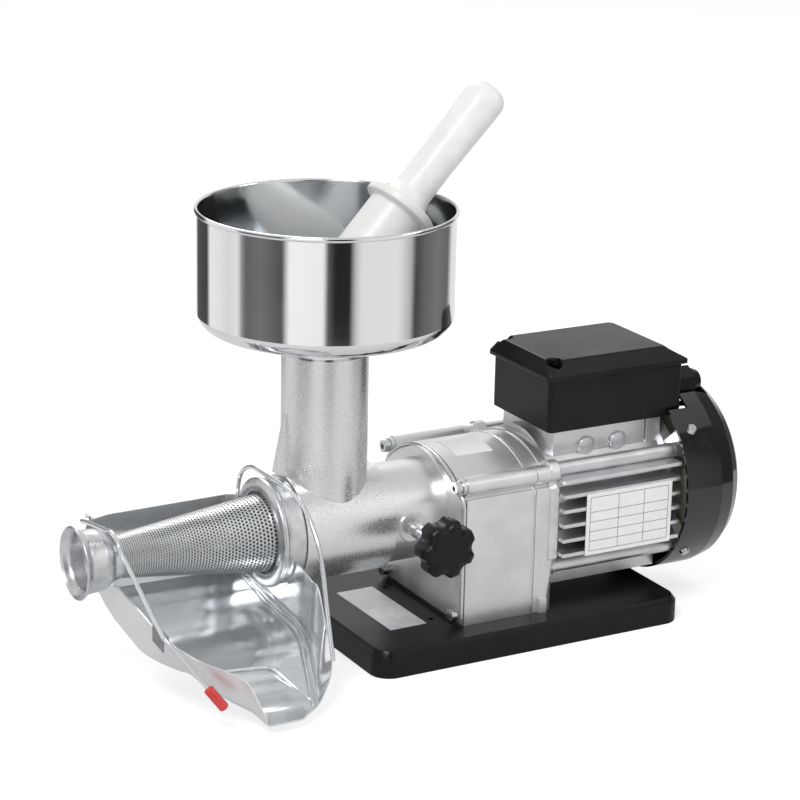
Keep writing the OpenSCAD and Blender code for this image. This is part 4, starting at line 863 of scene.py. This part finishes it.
def ruled_plate(name, low, high, material, lines_x, lines_z, ink):
    """Upright plate on the -Y side with a ruled border and bare boxes: rules are thin strips on its face."""
    box(name, low, high, material, "machine")
    half = 0.15
    strips = [((lines_x[0], z - half), (lines_x[-1], z + half)) for z in lines_z]
    strips += [((x - half, lines_z[0]), (x + half, lines_z[-1])) for x in lines_x]
    corners = np.array(strips)
    pick = np.array([(0, 0), (1, 0), (1, 1), (0, 1)])
    xz = np.stack([corners[:, pick[:, 0], 0], corners[:, pick[:, 1], 1]], -1)
    layers = [np.stack([xz[..., 0], np.full(xz.shape[:2], low[1] - up), xz[..., 1]], -1)
              for up in (-0.02, 0.05)]
    points = np.concatenate(layers, axis=1).reshape(-1, 3)
    cube = np.array([(0, 1, 2, 3), (7, 6, 5, 4), (0, 4, 5, 1), (1, 5, 6, 2), (2, 6, 7, 3), (3, 7, 4, 0)])
    faces = (cube[None] + 8 * np.arange(len(strips))[:, None, None]).reshape(-1, 4)
    outward(solid_from(name + "_rules", points * MM, faces, ink, "machine").data)


def arch_sticker():
    """Bare sticker bent over the gearbox arch, 0.2 mm thick, in steps of 1 mm along y."""
    y = np.linspace(-20, 7, 28)
    n = len(y)
    gx, gy = np.meshgrid(np.array([-35.5, -6.5]), y, indexing="ij")
    layers = [np.stack([gx, gy, ARCH_Z + np.sqrt((ARCH_R + up) ** 2 - gy ** 2)], -1).reshape(-1, 3)
              for up in (0.02, 0.2)]
    quads = grid_faces(2, n)
    k = np.arange(n - 1)
    sides = [np.stack([k + at, k + at + 1, k + at + 2 * n + 1, k + at + 2 * n], 1) for at in (0, n)]
    ends = [(at, at + n, at + 3 * n, at + 2 * n) for at in (0, n - 1)]
    faces = np.concatenate([quads, quads + 2 * n] + sides + [ends])
    outward(solid_from("arch_sticker", np.concatenate(layers) * MM, faces, plate_white, "machine").data)


def labels():
    """Nameplate across the fin tips, a bare label on the tray and a bare sticker on the gearbox arch."""
    ruled_plate("nameplate", (44, -62.9, 57.5), (114, -62.3, 102), plate_white, [47, 70, 91, 111],
                [60.5, 67.5, 74.5, 81.5, 88.5, 99], ink_black)
    corners = [(-95, 37.6), (-66.7, 37.6), (-65.7, -38.2), (-93.6, -38.6)]
    low, high = (np.array([(x, y, z) for x, y in corners]) for z in (18.5, 18.68))
    prism("tray_label", low, high, label_silver, "machine")
    arch_sticker()


strainer_sheet()
strainer_ends()
feed_bowl()
waste_nozzle()
clamp_collar()
pusher_stick()
chute_sheet()
chute_fittings()
chute_beads()
press_wires()
lobed_knob()
soft_mouldings()
trimmed_cover()
gearbox_bead()
blind_plugs()
labels()


# Studio

def stage_object(name, mesh, rays):
    """Puts a stage mesh in the scene for the kinds of rays named."""
    piece = bpy.data.objects.new(name, mesh)
    bpy.context.scene.collection.objects.link(piece)
    for ray in ("camera", "diffuse", "glossy", "transmission", "volume_scatter", "shadow"):
        setattr(piece, "visible_" + ray, ray in rays)


def by_ray(tree, camera, glossy, other):
    """Number that depends on the kind of ray: seen by the camera, seen in a reflection, or any other."""
    ray = add_node(tree, "ShaderNodeLightPath").outputs
    mirrored = add_node(tree, "ShaderNodeMapRange", {"To Min": other, "To Max": glossy},
                        {"Value": ray["Is Glossy Ray"]})
    direct = add_node(tree, "ShaderNodeMath", {"operation": "MULTIPLY", 1: camera}, {0: ray["Is Camera Ray"]})
    away = add_node(tree, "ShaderNodeMath", {"operation": "SUBTRACT", 0: 1.0}, {1: ray["Is Camera Ray"]})
    rest = add_node(tree, "ShaderNodeMath", {"operation": "MULTIPLY"},
                    {0: mirrored.outputs["Result"], 1: away.outputs[0]})
    both = add_node(tree, "ShaderNodeMath", {"operation": "ADD"}, {0: direct.outputs[0], 1: rest.outputs[0]})
    return both.outputs[0]


def reflection_ring():
    """Upright band of light round the bowl, seen only in reflections. Its level runs straight between the
    stops, each a heading in degrees and a level, as the bands on the photographed bowl give them."""
    stops = np.array([
        (12, 0.15), (17, 0.5), (22, 0.85), (84, 0.85), (90, 0.1), (119, 0.06), (124, 0.95), (140, 0.9),
        (152, 0.8), (163, 0.9), (167, 0.3), (172, 0.14), (186, 0.18), (198, 0.13), (206, 0.08), (212, 1.05),
        (240, 1.0), (244, 0.1), (250, 0.02), (262, 0.02), (267, 0.6), (272, 0.85), (305, 0.88), (318, 0.5),
        (323, 0.06), (334, 0.14), (352, 0.2), (372, 0.15)])
    far, tall = 0.75, 0.62
    around = np.linspace(12, 372, 181)
    level = np.interp(around, stops[:, 0], stops[:, 1])
    turn = np.radians(around)
    x, y = TUBE_X * MM + far * np.cos(turn), far * np.sin(turn)
    points = np.stack([np.stack([x, y, np.full_like(x, z)], -1) for z in (0.0, tall)]).reshape(-1, 3)
    mesh = bpy.data.meshes.new("reflection_ring")
    mesh.from_pydata(points.tolist(), [], grid_faces(2, len(around)).tolist())
    shade = mesh.attributes.new("level", "FLOAT", "POINT")
    shade.data.foreach_set("value", np.tile(level, 2).astype(np.float32))
    material, tree, out = new_material("reflection_ring")
    read = add_node(tree, "ShaderNodeAttribute", {"attribute_name": "level"})
    shine = add_node(tree, "ShaderNodeEmission", {"Color": (1, 1, 1, 1)}, {"Strength": read.outputs["Fac"]})
    tree.links.new(shine.outputs[0], out.inputs["Surface"])
    mesh.materials.append(material)
    stage_object("reflection_ring", mesh, ("glossy",))


def studio_floor():
    """White floor, 12 m wide, that glows for the camera."""
    material, tree, out = new_material("studio_floor")
    glow = by_ray(tree, camera=0.66, glossy=0.2, other=0.2)
    diffuse = add_node(tree, "ShaderNodeBsdfDiffuse", {"Color": (0.55, 0.55, 0.55, 1)})
    emit = add_node(tree, "ShaderNodeEmission", {"Color": (1, 1, 1, 1)}, {"Strength": glow})
    both = add_node(tree, "ShaderNodeAddShader", {}, {0: diffuse.outputs[0], 1: emit.outputs[0]})
    tree.links.new(both.outputs[0], out.inputs["Surface"])
    mesh = bpy.data.meshes.new("floor")
    mesh.from_pydata([(-6, -6, 0), (6, -6, 0), (6, 6, 0), (-6, 6, 0)], [], [(0, 1, 2, 3)])
    mesh.materials.append(material)
    stage_object("floor", mesh, ("camera", "diffuse", "glossy", "transmission", "shadow"))


def studio_world():
    """Plain white world, dimmer in reflections and dimmer still as light."""
    world = bpy.data.worlds.new("studio_world")
    bpy.context.scene.world = world
    world.use_nodes = True
    tree = world.node_tree
    tree.nodes.clear()
    level = by_ray(tree, camera=1.0, glossy=0.72, other=0.5)
    back = add_node(tree, "ShaderNodeBackground", {"Color": (1, 1, 1, 1)}, {"Strength": level})
    out = add_node(tree, "ShaderNodeOutputWorld")
    tree.links.new(back.outputs[0], out.inputs["Surface"])


def studio_lamps():
    """Soft round lamps, each with a place, a size and a power, pointed at the middle of the machine."""
    aim = Vector((0, 0, 0.15))
    lamps = {"key": ((-1.3, -1.1, 1.9), 0.8, 25), "fill": ((1.6, -1.2, 1.3), 0.8, 7),
             "rim": ((0.3, 1.8, 1.7), 1.0, 14)}
    for name, (place, size, power) in lamps.items():
        data = bpy.data.lights.new(name, "AREA")
        data.shape = "DISK"
        data.size = size
        data.energy = power
        lamp = bpy.data.objects.new(name, data)
        lamp.location = place
        lamp.rotation_euler = (aim - Vector(place)).to_track_quat("-Z", "Y").to_euler()
        bpy.context.scene.collection.objects.link(lamp)


look_from_photo()
studio_floor()
studio_world()
studio_lamps()
reflection_ring()
bpy.context.scene.view_settings.view_transform = "Standard"
